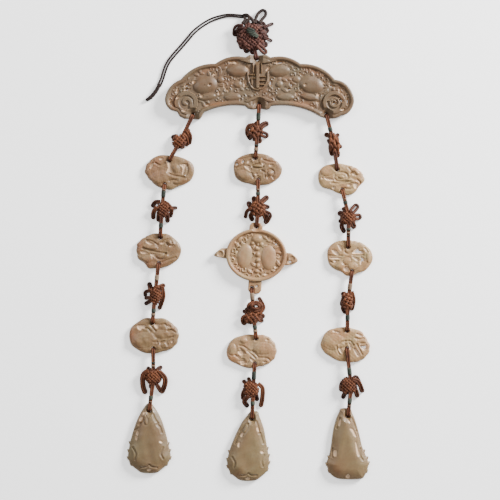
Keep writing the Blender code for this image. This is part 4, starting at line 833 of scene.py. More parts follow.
def buildPlaque():
    # Set by its middle's reach to the node's left and top. Returns its middle and its cord holes.
    s = plaqueSettings
    outline = arcLoop(s["start"], s["arcs"], s["arcSteps"]) * unit
    low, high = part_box("top_plaque")
    place = np.array((low[0] + s["leftReach"] * unit, high[1] - s["topReach"] * unit))
    holes = {key: np.array(at) * unit for key, at in s["holes"].items()}
    lands = cordChannel(holes.values(), s["channel"])

    def height(x, y, outer):
        return landLevel(plaqueHeight(x, y, outer), x, y, lands)
    addJade("top_plaque", outline, height, place, s, s, unit, holes.values())
    return place, {key: place + h for key, h in holes.items()}


plaquePlace, plaqueHoles = buildPlaque()
print("stage: plaque")


# Oval jades, each on a grid of photograph steps from its own middle
ovalSettings = {
    "slot": "jade_warm", "step": 0.00031, "edgeRound": 0.0011, "backRound": 0.0007, "blur": 8,
    "recessDepth": 0.0009, "drawnIn": 0.66, "thick": 0.0050, "edge": 0.0031, "domeRoom": 0.0010, "roll": 0.0035,
    "grooveWidth": 0.00072, "grooveDepth": 0.00052, "sink": 0.0010, "edgeCarving": 0.3,
    "uneven": ((0.00020, 0.009, 0), (0.00006, 0.0028, 50)), "outlinePoints": 252, "wear": 0.00045,
    "channel": (0.009, -0.018),
}
ovals = {
    "left_oval_1": {
        "width": 0.0406, "grid": 50.7, "seed": 11,
        "radii": (25, 24.5, 21, 18.2, 17, 17.5, 19.5, 22, 24, 24.5, 21.5, 19, 18, 17.5, 17.5, 17, 19, 23),
        "holes": ((0, 11.6), (-4.8, -12.6)),
        "pierced": (), "finish": "oval",
        "openings": ((-17.3, 6.6, 3.2, 1.1, 65), (-7.9, 13.3, 1.5, 0.8, 10),
                     ((-1.2, 9), (-0.5, 5), (-1.6, 0.8), (3.2, 0.6), (1.5, 5), (1.6, 9)),
                     ((11.1, 7.4), (16.5, 8.2), (16.2, 4), (14.8, -1.4), (13.4, -1.2), (13.9, 4.4))),
        "domes": ((-10, -5, 11, 6.4, 14, 0.0009), (6.6, 3.2, 4.4, 4.6, 0, 0.0009), (11, -9, 7, 2.6, 16, 0.0005)),
        "grooves": (((-1.4, -0.4), (3.4, -3.1), (8.7, -4.2), (15.2, -5.3)), ((-14, 9.4), (-9, 6.8), (-4.4, 9)),
                    ((-20.4, 3.4), (-15.6, 11.4)), ((0.4, -8.6), (3.6, -7.6), (8, -8.4)), ((17.6, 8), (18.6, 2), (17, -3))),
        "jagged": (150, 215),
        "stains": ((-14, 10, 8, 4, 30, 0.8), (15, -10, 6, 3, 20, 0.3)),
    },
    "left_oval_2": {
        "width": 0.0365, "grid": 45.6, "seed": 12,
        "radii": (22.5, 21.5, 20, 19, 17.8, 18, 18.5, 20.5, 22.5, 22.5, 22.2, 18.8, 20.5, 17.8, 17.5, 18,
                  19, 21.5),
        "holes": ((1.7, 13.2), (0, -12.6)),
        "pierced": (), "finish": "oval",
        "openings": (((-12, 9.2), (-9, 8.8), (-5.6, 7), (-7.4, 6.4), (-10.4, 7.2)), (4.4, 8.0, 1.8, 0.9, 20), (13.2, 5.2, 1.7, 0.6, 12),
                     ((-17.2, -0.4), (-13.6, -0.6), (-11.4, -2), (-14.6, -2.8), (-17, -2)),
                     ((-8, -2.8), (-4, -3.2), (-3, -5), (-6.4, -5.2))),
        "domes": ((-8, 3.8, 8, 2.4, -8, 0.0007), (5, -5.6, 5.4, 2.4, 8, 0.0007), (12.6, 8.6, 5, 3, -30, 0.0007),
                  (-12, -8, 6, 4, 0, 0.0006)),
        "grooves": (((-15.8, 2.5), (-10.9, 0.9), (-3.4, -0.7), (7.3, -2.7)), ((-12, 10.4), (-6.6, 9.6), (-1, 6)),
                    ((2.5, 8), (6.9, 10.8), (11.6, 11.2), (13.4, 8)), ((4, -11.5), (9, -9), (16.9, -6.6)),
                    ((7.3, -2.7), (5, -5), (1, -8.6), (-3.4, -5.8)), ((7.8, 7.6), (9.4, 5.6))),
        "jagged": (120, 200),
        "stains": ((-19, 6, 3, 8, 0, 0.9), (-10, -14, 7, 3, 0, 0.6)),
    },
    "left_oval_3": {
        "width": 0.0400, "grid": 50.0, "seed": 13,
        "radii": (25, 24, 21.5, 19.8, 18, 18, 20, 21.5, 24, 25, 24.5, 21.5, 20, 18, 18, 18.5, 21.5, 24.5),
        "holes": ((-1.3, 12.8), (-0.7, -13.0)),
        "pierced": (), "finish": "oval",
        "openings": (((-16, 10.4), (-12, 10.8), (-8.4, 10), (-9, 8), (-11.6, 7.6), (-13.4, 6), (-15.6, 7.4)),
                     ((0.6, 11.6), (4.6, 11.4), (4.4, 8.4), (2.4, 8)), (18.4, -5.2, 0.9, 1.4, 0), (15, 9.4, 1.8, 0.9, -30)),
        "domes": ((-10, -4, 13, 8, 8, 0.0010), (8, 1.6, 8, 4.4, 0, 0.0006), (4, -10, 3.4, 4, 0, 0.0006),
                  (10.4, -9, 3.6, 3.4, 0, 0.0006)),
        "grooves": (((-3.6, 11), (-1, 8), (1.6, 4.9)), ((-8.4, 7.6), (-5.6, 6.8), (-3.4, 4.4)), ((7, 11), (11, 11.6), (13.6, 8)),
                    ((12.9, -5.2), (14.5, -2.6), (18.8, -1)), ((0, -6.3), (2.7, -5.8), (3.8, -7.9), (2.1, -10)),
                    ((7, -6.9), (10.2, -5.8), (12.9, -7.9), (13.4, -9.5)), ((14, 5), (18, 5.6), (21.4, 3.4))),
        "jagged": (-60, 40),
        "stains": ((-22, 2, 3, 9, 0, 1.0), (16, 12, 6, 3, -20, 0.4)),
    },
    "centre_oval_1": {
        "width": 0.0391, "grid": 48.9, "seed": 14,
        "radii": (24.5, 21.8, 19, 17, 16.4, 16.5, 18, 21, 23.8, 24, 23.2, 20, 17, 16.2, 16.5, 18, 20.2, 23.5),
        "holes": ((-2, 11.2), (0.5, -10.6)),
        "pierced": (0, 1), "finish": "oval",
        "openings": ((-20.6, 5, 1.2, 1.1, 0), (-14.6, 7.7, 1.7, 1.0, 70), (-8.4, 8.0, 2.0, 0.9, 50), (6.0, 5.6, 1.4, 1.1, 0),
                     (13.6, 4.0, 1.6, 1.0, 0), ((-12.6, 3.2), (-8.2, 3.2), (-6.4, -1.6), (-9.4, -0.2)),
                     (-1.0, -4.9, 1.1, 0.9, 0), (10.4, -8.3, 0.7, 1.3, 20), (15.9, -8.6, 0.7, 1.2, 20)),
        "domes": ((-14, -6, 7.4, 5, -20, 0.0010), (12.6, -4.2, 2.8, 2.8, 0, 0.0009), (0.6, 3.0, 5.2, 1.5, 0, 0.0008),
                  (-5.4, 8.8, 1.8, 2.6, 20, 0.0006), (3, 8.8, 1.8, 2.6, -20, 0.0006)),
        "grooves": (((-5, 3.6), (0, 5), (5.7, 3.4)), ((-5, 2.6), (0, 1.0), (5.4, 2.2)), ((9, -3.4), (10.6, -0.6), (14.4, -0.6), (16.4, -3.6), (14.6, -7)),
                    ((-3.6, -8), (-1, -7), (2, -8)), ((-18, 10), (-12, 11), (-8, 12.6)), ((7, 9), (12, 7.6), (17, 7)),
                    ((-22, 1.4), (-18, 2.6), (-14, 4.6)), ((4, -1), (7, -3), (7.4, -8)), ((-6, -4), (-4, -9))),
        "jagged": (20, 60),
        "stains": ((14, 8, 6, 4, 0, 0.4), (-18, 8, 5, 3, 20, 0.6)),
    },
    "centre_oval_2": {
        "width": 0.0408, "grid": 51.0, "seed": 15,
        "radii": (25.5, 25, 22.6, 19, 17, 16.8, 18, 21, 23.2, 25, 24, 19.8, 18, 17.2, 17.2, 18, 21, 24.5),
        "holes": ((4.9, 12.4), (3.3, -12.6)),
        "pierced": (), "finish": "medallion",
        "openings": ((16, 11.4, 1.4, 0.8, -10), ((-13, -0.6), (-10.4, 0.8), (-7.4, -2.6), (-10.4, -3.6)),
                     ((-1.6, -6.6), (0.4, -7.2), (3.0, -9.4), (1.0, -10)),
                     ((-10.6, -10.2), (-8.4, -9.2), (-5.6, -11.6), (-7.4, -13.2), (-9.8, -12.8)),
                     (-13.4, -5.2, 2.0, 0.8, -20), (13.4, -10.6, 1.4, 0.6, 0)),
        "domes": ((12, 3, 10, 6.4, 0, 0.0009), (-7.4, 10.6, 3.6, 3, 0, 0.0008), (-19, 2, 4, 6, 0, 0.0006)),
        "grooves": (((-11.6, 5.5), (-7.8, 4.9), (-2.5, 1.2), (4, -2.6), (6.1, -4.7)), ((-11, 2.8), (-6.2, -2)), ((-4.4, 0.6), (0, -3), (4, -6.9)),
                    ((-12.1, -10.1), (-8.4, -7.9), (-5.2, -11.2)), ((7.2, -6.3), (15.7, -6.9), (19, -10)),
                    ((-2, -8), (-4, -12)), ((-16, -4), (-12, -6.9)), ((1, 0.6), (4, -1))),
        "jagged": (-70, 70),
        "stains": ((-18, -8, 6, 4, 30, 0.5), (18, -8, 6, 3, 0, 0.3)),
    },
    "right_oval_1": {
        "width": 0.0380, "grid": 47.5, "seed": 16,
        "radii": (23.5, 22, 19, 16.6, 16, 16.5, 18.5, 21.5, 23.5, 23, 20.5, 15.2, 13.6, 13.8, 15.8, 17.5,
                  19, 19.5),
        "holes": ((-4, 10), (1, -10.2)),
        "pierced": (), "finish": "paleOval",
        "openings": (((-16.4, 2.4), (-13.6, 1.6), (-8, 0.4), (-8.6, -1), (-13, -0.6), (-15.6, 0.6)), (-18.6, 1.6, 1.0, 0.7, 0),
                     (8.2, -5.3, 1.5, 0.9, 8), ((13.2, -3.6), (16.6, -4.4), (14.8, -8.4), (12.8, -6.6)),
                     (-7.4, -8, 1.3, 1.0, 0), (12.4, 5.6, 1.3, 1.0, -30)),
        "domes": ((-13, 8.4, 8, 4.4, 15, 0.0009), (0.2, 2.7, 3.0, 1.8, 0, 0.0009), (10, -1, 6, 2, -14, 0.0006),
                  (15, 8, 4, 3, -30, 0.0007)),
        "grooves": (((-6.8, 3), (-5.4, 6.6), (0, 7.4), (5, 6), (6.6, 2), (3, -1.4), (-4, -1.2), (-6.8, 1.4)), ((7.4, 11.8), (9.5, 9), (9.6, 6)),
                    ((9.6, 6), (13, 7.6), (15, 5)), ((-10, -3), (-4, -3.6), (2, -2.8), (9, -1.4)), ((16, 0), (19, -3), (18.6, -7)),
                    ((3.6, -8.6), (9, -9.4), (12, -8))),
        "jagged": (0, 50),
        "stains": ((3, -7, 4, 3, 0, 0.9), (15, 10, 6, 3, -20, 0.5)),
    },
    "right_oval_2": {
        "width": 0.0370, "grid": 46.3, "seed": 17,
        "radii": (23, 22.5, 20, 19, 18, 18.4, 20.5, 22.5, 23.6, 22.5, 21, 18.6, 16.2, 18, 18, 17, 20, 21.5),
        "holes": ((-1.8, 10.8), (2.0, -13.4)),
        "pierced": (4, 6), "finish": "paleOval",
        "openings": (((-11.8, 13.4), (-9.8, 12.6), (-7.8, 8), (-9.4, 8.4), (-11, 11)), ((-17.6, 8.2), (-14.4, 7.6), (-11, 3.6), (-14.4, 4), (-16.6, 6)),
                     (-14.6, 0.0, 5.0, 0.7, 0), (-15, -2.8, 1.3, 0.9, 0),
                     ((2.8, 5), (6.4, 9.4), (8.4, 9.8), (9, 7.4), (13, 6.4), (13, 4.8), (8, 4.6)),
                     ((2.8, 1), (5.6, 0.8), (9, -1.6), (7.6, -2.6), (4.8, -0.8)),
                     ((10.6, 1.4), (13.2, 0.6), (14.8, -2.4), (12.4, -3.4), (11, -6), (10.4, -3), (11.8, -1)),
                     ((-5.6, -9.4), (-2.4, -9.4), (-1.2, -12), (-3, -13), (-5.4, -12))),
        "domes": ((3, -8, 5, 4, 0, 0.0009), (-10, -8, 5, 3.6, 20, 0.0007), (18.6, 2, 2.4, 7, 0, 0.0006), (-3, -3, 4, 3.4, 30, 0.0006)),
        "grooves": (((-21.3, 2.5), (-14, 2.2), (-8.4, 2.5)), ((2.9, 3), (8, 2.8), (13.6, 3)), ((-4.6, 10), (-5, 6), (-1.4, 4.4), (2, 6.4)),
                    ((-21, -2.6), (-16, -5), (-12, -3)), ((14.8, 10), (18, 6))),
        "jagged": (60, 120),
        "stains": ((-4, -12, 4, 4, 0, 0.9), (16, -10, 5, 3, 20, 0.4)),
    },
    "right_oval_3": {
        "width": 0.0399, "grid": 49.9, "seed": 18,
        "radii": (25, 22.5, 21, 18.6, 18, 18, 19.5, 22, 23.6, 24.5, 22, 19, 17.5, 17, 17.5, 20.2, 23.4, 25.2),
        "holes": ((2.2, 14.0), (1.8, -3.6)),
        "pierced": (3,), "finish": "paleOval",
        "openings": ((-10.6, 13.8, 1.5, 0.7, -14), (-7, 12.8, 1.4, 0.6, -20), ((11, 11.2), (14.4, 10.8), (17.4, 8.6), (13.6, 9)),
                     ((14.8, -0.6), (19, -1.4), (21.6, 0.4), (21.4, -3.6), (18.6, -5)),
                     ((8.8, -4.4), (10.6, -4), (14.4, -9.6), (12.6, -11.2)),
                     ((3.8, 2), (5.2, 1.2), (6.8, -2.6), (5.2, -4.2), (4.6, -1.6)), ((-6.4, -3.6), (-4.6, -3), (-2.6, -7.6), (-4.2, -7.4))),
        "domes": ((-11, 3, 11, 8, 10, 0.0009), (9, 3, 2.6, 4, -30, 0.0006), (-3, 0, 3, 2.2, 40, 0.0006)),
        "grooves": (((11.7, 0.6), (13.6, -3), (17, -9.5)), ((-5.8, 1), (-3, 3.4), (1, 4)), ((3, 4), (6, 3.4), (8.4, 0)),
                    ((-8.6, -1), (-7.4, -5.4), (-5.6, -9)), ((10, 7), (14, 6), (19, 6.6)), ((15.6, 1.6), (19.6, 1.8))),
        "jagged": (-70, 40),
        "stains": ((16, 10, 6, 3, -20, 0.5), (-20, -4, 4, 5, 0, 0.4)),
    },
}


def carvedRelief(x, y, scale, spec, settings):
    # Domes rise as the square root of the way in from their rim and have a cut line round them;
    # grooves are cut along smooth lines with a soft swell on both sides.
    u, v = x / scale, y / scale
    rise = np.zeros_like(x)
    for cx, cy, a, b, turn, high in spec["domes"]:
        away = -ellipseDistance(u, v, (cx, cy, a, b, turn))
        rise = np.maximum(rise, high * np.clip(away / (0.7 * min(a, b)), 0, 1) ** 0.6)
        rise = rise - carving["domeCut"] * np.exp(-((away + 0.5) / 0.7) ** 2)
    wide = settings["grooveWidth"]
    for line in spec["grooves"]:
        away = lineDistance(x, y, smoothLine(np.array(line) * scale, 8 * len(line)))
        rise = rise - settings["grooveDepth"] * np.exp(-(away / wide) ** 2)
        rise = rise + carving["swell"] * np.exp(-((away - 2.1 * wide) / (1.1 * wide)) ** 2)
    return rise


def carvedPillow(x, y, inward, outer, scale, spec, s):
    # The height climbs from the edge as a quarter sine, with the carving fading out at the edge
    # and an uneven surface.
    climb = np.sin(np.clip(inward / s["roll"], 0, 1) * np.pi / 2)
    level = s["edge"] + (s["thick"] - s["domeRoom"] - s["edge"]) * climb
    fade = np.clip(outer / carving["edgeFade"], s["edgeCarving"], 1)
    level = level + carvedRelief(x, y, scale, spec, s) * fade
    for strength, wave, seedStep in s["uneven"]:
        level = level + strength * noiseField(x, y, wave, spec["seed"] + seedStep)
    return level


def buildOval(name, hole):
    # The outline runs through its radii, waves a little and is chipped along one stretch. Returns
    # the lower cord hole's place.
    spec, s = ovals[name], ovalSettings
    scale, count = spec["width"] / spec["grid"], s["outlinePoints"]
    radii = np.array(spec["radii"])
    angles = np.radians(np.arange(len(radii)) * 360 / len(radii))
    ring = np.stack([np.cos(angles), np.sin(angles)], 1) * radii[:, None]
    outline = smoothLine(ring * scale, count, closed=True)
    around = np.arange(count) * 360 / count
    first, last = spec["jagged"]
    chips = (np.mod(around - first, 360) < last - first) * np.abs(np.sin(np.radians(around * 10)))
    uneven = 0.35 * np.sin(np.radians(around * 7 + spec["seed"] * 30)) - chips ** 4
    outline = outline * (1 + uneven[:, None] * s["wear"] / np.linalg.norm(outline, axis=1)[:, None])
    top, bottom = (np.array(at) * scale for at in spec["holes"])
    lands = cordChannel((top, bottom), s["channel"])

    def height(x, y, outer):
        return landLevel(carvedPillow(x, y, outer, outer, scale, spec, s), x, y, lands)
    place = hole - top
    addJade(name, outline, height, place, spec, s, scale, (top, bottom))
    return place + bottom


# Medallion
medallionSettings = {
    "finish": "medallion", "slot": "jade_warm", "step": 0.00034, "edgeRound": 0.0009, "backRound": 0.0007,
    "blur": 9, "recessDepth": 0.0006, "drawnIn": 0.7, "channel": (0.009, -0.009),
    "width": 0.0485, "high": 0.0421, "grid": 60.6, "turn": -3.7, "rim": 0.0027, "rimRise": 0.0061,
    "rimCrown": 0.0003, "uneven": (0.00010, 0.009, 22), "earSwell": 0.0009,
    "foliage": {"seed": 21, "pitch": 0.0046, "rise": 0.0008, "curls": 0.55, "pit": 0.0008},
    "ground": 0.0048, "lugHalf": 6.7, "lugs": ((-2.0, 33.0, 1), (0.6, 39.0, -1)),
    "ears": ((-42.3, -2.6, -30.0, 5.0, -4.6), (41.8, -2.6, 30.0, 4.4, -7.2)),
    "holes": ((-1.6, 28.4), (-2.4, -33.4)),
    "fields": ((-11.5, -1.8, 7.4, 12.0, -6, 0.0017), (12.6, -1.8, 7.6, 12.4, 4, 0.0017),
               (-0.4, 16.2, 5.4, 4.6, 0, 0.0022), (-4.4, 11.6, 2.2, 2.2, 0, 0.0015), (4.4, 11.0, 2.2, 2.2, 0, 0.0015),
               (0.4, 6.6, 2.6, 2.4, 0, 0.0017), (1.4, 0.8, 2.2, 2.4, 0, 0.0015), (2.0, -5.0, 2.4, 2.2, 0, 0.0016),
               (2.2, -10.6, 2.0, 2.4, 0, 0.0015), (1.4, -16.0, 2.4, 2.0, 0, 0.0015)),
    "sink": 0.0010, "pierced": (11, 12, 3),
    "openings": ((-20.5, 12.5, 1.5, 1.0, 50), (-14.0, 17.6, 1.8, 1.0, 35), (11.6, 17.2, 2.0, 1.0, -30),
                 (19.0, 12.0, 1.4, 1.1, 0), (-21.6, -3.6, 1.6, 1.0, -40), (-17.2, -12.4, 1.6, 1.0, -50),
                 (22.2, 0.6, 1.0, 1.4, 0), (20.4, -10.6, 1.2, 1.2, 0), (-5.4, -19.4, 1.2, 0.9, 0),
                 (10.0, -18.2, 1.4, 0.9, 0), (1.5, 8.6, 1.4, 0.9, 20), (34.0, -4.6, 1.9, 1.6, 0),
                 (2.4, -31.0, 1.3, 1.0, 0)),
    "stains": ((20, 14, 8, 5, -30, 0.5), (-20, -14, 8, 5, -30, 0.4), (0, -38, 7, 3, 0, 0.6)),
}


def medallionOutlines(scale):
    # The disc's ellipse, a lug with cut corners above and below, and a pointed ear on each side.
    s = medallionSettings
    a = np.arange(160) * 2 * np.pi / 160
    loops = [np.stack([np.cos(a) * s["width"] / 2, np.sin(a) * s["high"] / 2], 1)]
    base, half = s["high"] / 2 / scale, s["lugHalf"]
    for middle, tip, sign in s["lugs"]:
        lug = ((-half, base - 6), (-half, tip - 4), (-0.7 * half, tip - 1), (0, tip), (0.7 * half, tip - 1),
               (half, tip - 4), (half, base - 6))
        loops.append(np.array([(middle + u, sign * v) for u, v in lug]) * scale)
    for tipX, tipY, rootX, high, low in s["ears"]:
        bend = (tipX + rootX) / 2
        ear = ((rootX * 0.85, high), (rootX * 1.04, high), (bend, high * 0.8), (tipX, tipY),
               (bend, low * 1.02), (rootX * 0.85, low))
        loops.append(smoothLine(np.array(ear) * scale, 60, closed=True))
    return loops


def buildMedallion(hole):
    # Foliage between domed fields inside a raised rim, and ears with a soft ridge round a hollow.
    # Returns the lower cord hole's place.
    s = medallionSettings
    scale = s["width"] / s["grid"]
    loops = medallionOutlines(scale)
    top, bottom = (np.array(at) * scale for at in s["holes"])
    lands = cordChannel((top, bottom), s["channel"])

    def height(x, y, _):
        u, v = x / scale, y / scale
        inner = loopDistance(x, y, loops[0])
        mask = np.clip((inner - 0.0032) / 0.0006, 0, 1)
        raised, inward = domedFields(u, v, s["fields"])
        for away in inward:
            mask = mask * np.clip(-away / 0.8, 0, 1)
        strength, wave, seed = s["uneven"]
        level = s["ground"] + foliage(x, y, mask, s["foliage"]) + raised
        level = raisedRim(level + strength * noiseField(x, y, wave, seed), inner, s, inner > -0.0003)
        hollow = np.hypot(np.abs(u) - 36, v + 1) - 3.4
        level = np.where(inner < 0, s["ground"] + s["earSwell"] * np.exp(-hollow ** 2), level)
        return landLevel(level, x, y, lands)
    zero = np.zeros(2)
    place = hole - np.array(turnedOut(*top, s["turn"], zero))
    addJade("medallion", loops, height, place, s, s, scale, (top, bottom), s["turn"])
    return np.array(turnedOut(*bottom, s["turn"], place))


# Drops
dropSettings = {
    "slot": "jade_olive", "step": 0.00033, "edgeRound": 0.0010, "backRound": 0.0008, "blur": 9,
    "recessDepth": 0.0009, "drawnIn": 0.66, "grid": 42.6, "outlinePoints": 264,
    "steps": (0.0, 0.06, 0.14, 0.25, 0.38, 0.52, 0.66, 0.76, 0.85, 0.93, 0.98),
    "edge": 0.0036, "thick": 0.0075, "domeRoom": 0.0004, "roll": 0.0095, "grooveWidth": 0.00070,
    "grooveDepth": 0.0006, "sink": 0.0006, "edgeCarving": 0.2, "uneven": ((0.00016, 0.012, 0),),
    "channel": (0.009,),
    "barb": ((-0.0020, -0.0018), (0.0003, -0.0013), (0.0012, 0.0014), (-0.0020, 0.0016)),
}
drops = {
    "left_drop": {
        "width": 0.0342, "height": 0.0566, "hole": (0.1, 28.4), "seed": 31,
        "left": (0.10, 0.26, 0.43, 0.60, 0.75, 0.88, 0.97, 1.0, 0.88, 0.60, 0.30),
        "right": (0.10, 0.26, 0.43, 0.60, 0.74, 0.86, 0.96, 1.0, 0.86, 0.58, 0.30),
        "finish": "darkDrop", "pierced": (),
        "openings": ((-4.6, 26.4, 1.5, 0.8, 45), (-8, 20.6, 2.2, 0.9, 60), (-11.6, 6.4, 0.8, 2.0, 0),
                     (-12.4, 1.6, 0.7, 1.8, 0), (11.9, -2.2, 1.6, 0.8, -30), (0, -30.2, 1.5, 0.9, 0)),
        "domes": ((-3.4, 20, 1.8, 5, 10, 0.0006),),
        "grooves": (((-10, 15), (-6, 19), (-2.6, 24)), ((9, 16), (6, 20), (4, 25)), ((-14, 9), (-10.4, 12), (-8, 16)),
                    ((12.6, 7), (11, 12), (8, 15)), ((-16, -8), (-13, -14), (-14, -20)), ((14, -8), (12, -14), (14, -19)),
                    ((-8, -28), (-2.6, -27), (0, -25), (2.6, -27), (8, -28))),
        "hooks": ((-1, -4), (-1, -12), (-1, -19), (-1, -25), (1, -5), (1, -12), (1, -19), (1, -25)),
        "stains": ((-8, 20, 5, 8, 20, 0.35), (10, -28, 6, 3, 30, 0.3)),
    },
    "centre_drop": {
        "width": 0.0340, "height": 0.0564, "hole": (3.7, 28.2), "seed": 32,
        "left": (-0.10, 0.06, 0.28, 0.48, 0.68, 0.86, 0.98, 1.0, 0.88, 0.62, 0.30),
        "right": (0.44, 0.52, 0.62, 0.74, 0.82, 0.90, 0.98, 0.97, 0.86, 0.58, 0.28),
        "finish": "drop", "pierced": (),
        "openings": ((-6.3, 12.9, 1.0, 2.0, -20), (-9.3, 2.9, 1.0, 2.2, -10), (13.7, -4.6, 1.4, 0.9, -30),
                     (-0.3, -31.4, 1.8, 0.7, 0), (9.4, 18, 0.8, 2.0, 20)),
        "domes": ((-3, 19, 1.8, 4.6, -20, 0.0006),),
        "grooves": (((-8, 16), (-4, 21), (0, 24)), ((11, 14), (10, 20), (8, 26)), ((-13, 4), (-11, 9), (-8, 14)),
                    ((15, 4), (13.4, 9), (12, 14)), ((-16, -10), (-13.4, -15), (-14, -20)), ((16, -8), (13.6, -13), (14.4, -19)),
                    ((-8, -28), (-3, -28), (0, -26), (3, -28), (8, -28))),
        "hooks": ((-1, -5), (-1, -13), (-1, -20), (-1, -26), (1, -2), (1, -9), (1, -16), (1, -23)),
        "stains": ((10, 18, 5, 7, -20, 0.3), (-10, -26, 6, 3, -30, 0.3)),
    },
    "right_drop": {
        "width": 0.0338, "height": 0.0576, "hole": (0.3, 28.8), "seed": 33,
        "left": (0.30, 0.42, 0.54, 0.65, 0.73, 0.79, 0.88, 1.0, 0.92, 0.74, 0.34),
        "right": (0.12, 0.22, 0.34, 0.46, 0.58, 0.69, 0.88, 1.0, 0.94, 0.82, 0.60),
        "finish": "drop", "pierced": (),
        "openings": ((-8, 22.6, 0.9, 3.0, -10), (1.4, 23.6, 1.3, 0.7, -40),
                     ((2.4, 16.6), (5.4, 15.4), (8.2, 9), (6.2, 9.8), (4.4, 13.4)),
                     ((7.8, 2.6), (8.8, 1), (11.4, -10.2), (9.6, -9.6), (8.6, -4)),
                     ((-14, -5.8), (-11.4, -5.4), (-11.2, -10.2), (-13.8, -10.6)),
                     ((0.2, -29.4), (2, -32), (0.6, -33.4), (-1.4, -32))),
        "domes": (),
        "grooves": (((4, 27), (7, 20), (9.4, 14)), ((9.4, 14), (12, 6), (13.4, 0)), ((-11, 17), (-8, 27)),
                    ((13, -4), (12.6, -11), (15, -15)), ((-15, -4), (-15.4, -12))),
        "hooks": ((-1, -13), (-1, -20), (-1, -27), (1, -7), (1, -14), (1, -19), (1, -27)),
        "stains": ((9, 10, 4, 9, 0, 0.3), (-12, -24, 3, 6, 0, 0.3)),
    },
}


def hookShape(outline, side, y):
    # A small barb on the edge: a leaning triangle with its point up and out.
    near = outline[np.sign(outline[:, 0]) == side]
    edge = near[np.argmin(np.abs(near[:, 1] - y))][0]
    return np.array([(edge + side * across, y + along) for across, along in dropSettings["barb"]])


def buildDrop(name, hole):
    # The outline runs down the left half widths and up the right ones, with barbs added on both
    # edges. The pillow is that of the ovals, measured from the edge without the barbs.
    spec, s = drops[name], dropSettings
    scale, half, high = spec["width"] / s["grid"], spec["width"] / 2, spec["height"]
    steps = np.array(s["steps"])
    left = np.stack([-np.array(spec["left"]) * half, high * (0.5 - steps)], 1)
    right = np.stack([np.array(spec["right"]) * half, high * (0.5 - steps)], 1)[::-1]
    outline = smoothLine(np.vstack([left, right]), s["outlinePoints"], closed=True)
    loops = [outline] + [hookShape(outline, side, y * scale) for side, y in spec["hooks"]]
    top = np.array(spec["hole"]) * scale
    lands = cordChannel((top,), s["channel"])

    def height(x, y, outer):
        inward = np.maximum(loopDistance(x, y, outline), 0)
        return landLevel(carvedPillow(x, y, inward, outer, scale, spec, s), x, y, lands)
    addJade(name, loops, height, hole - top, spec, s, scale, (top,))


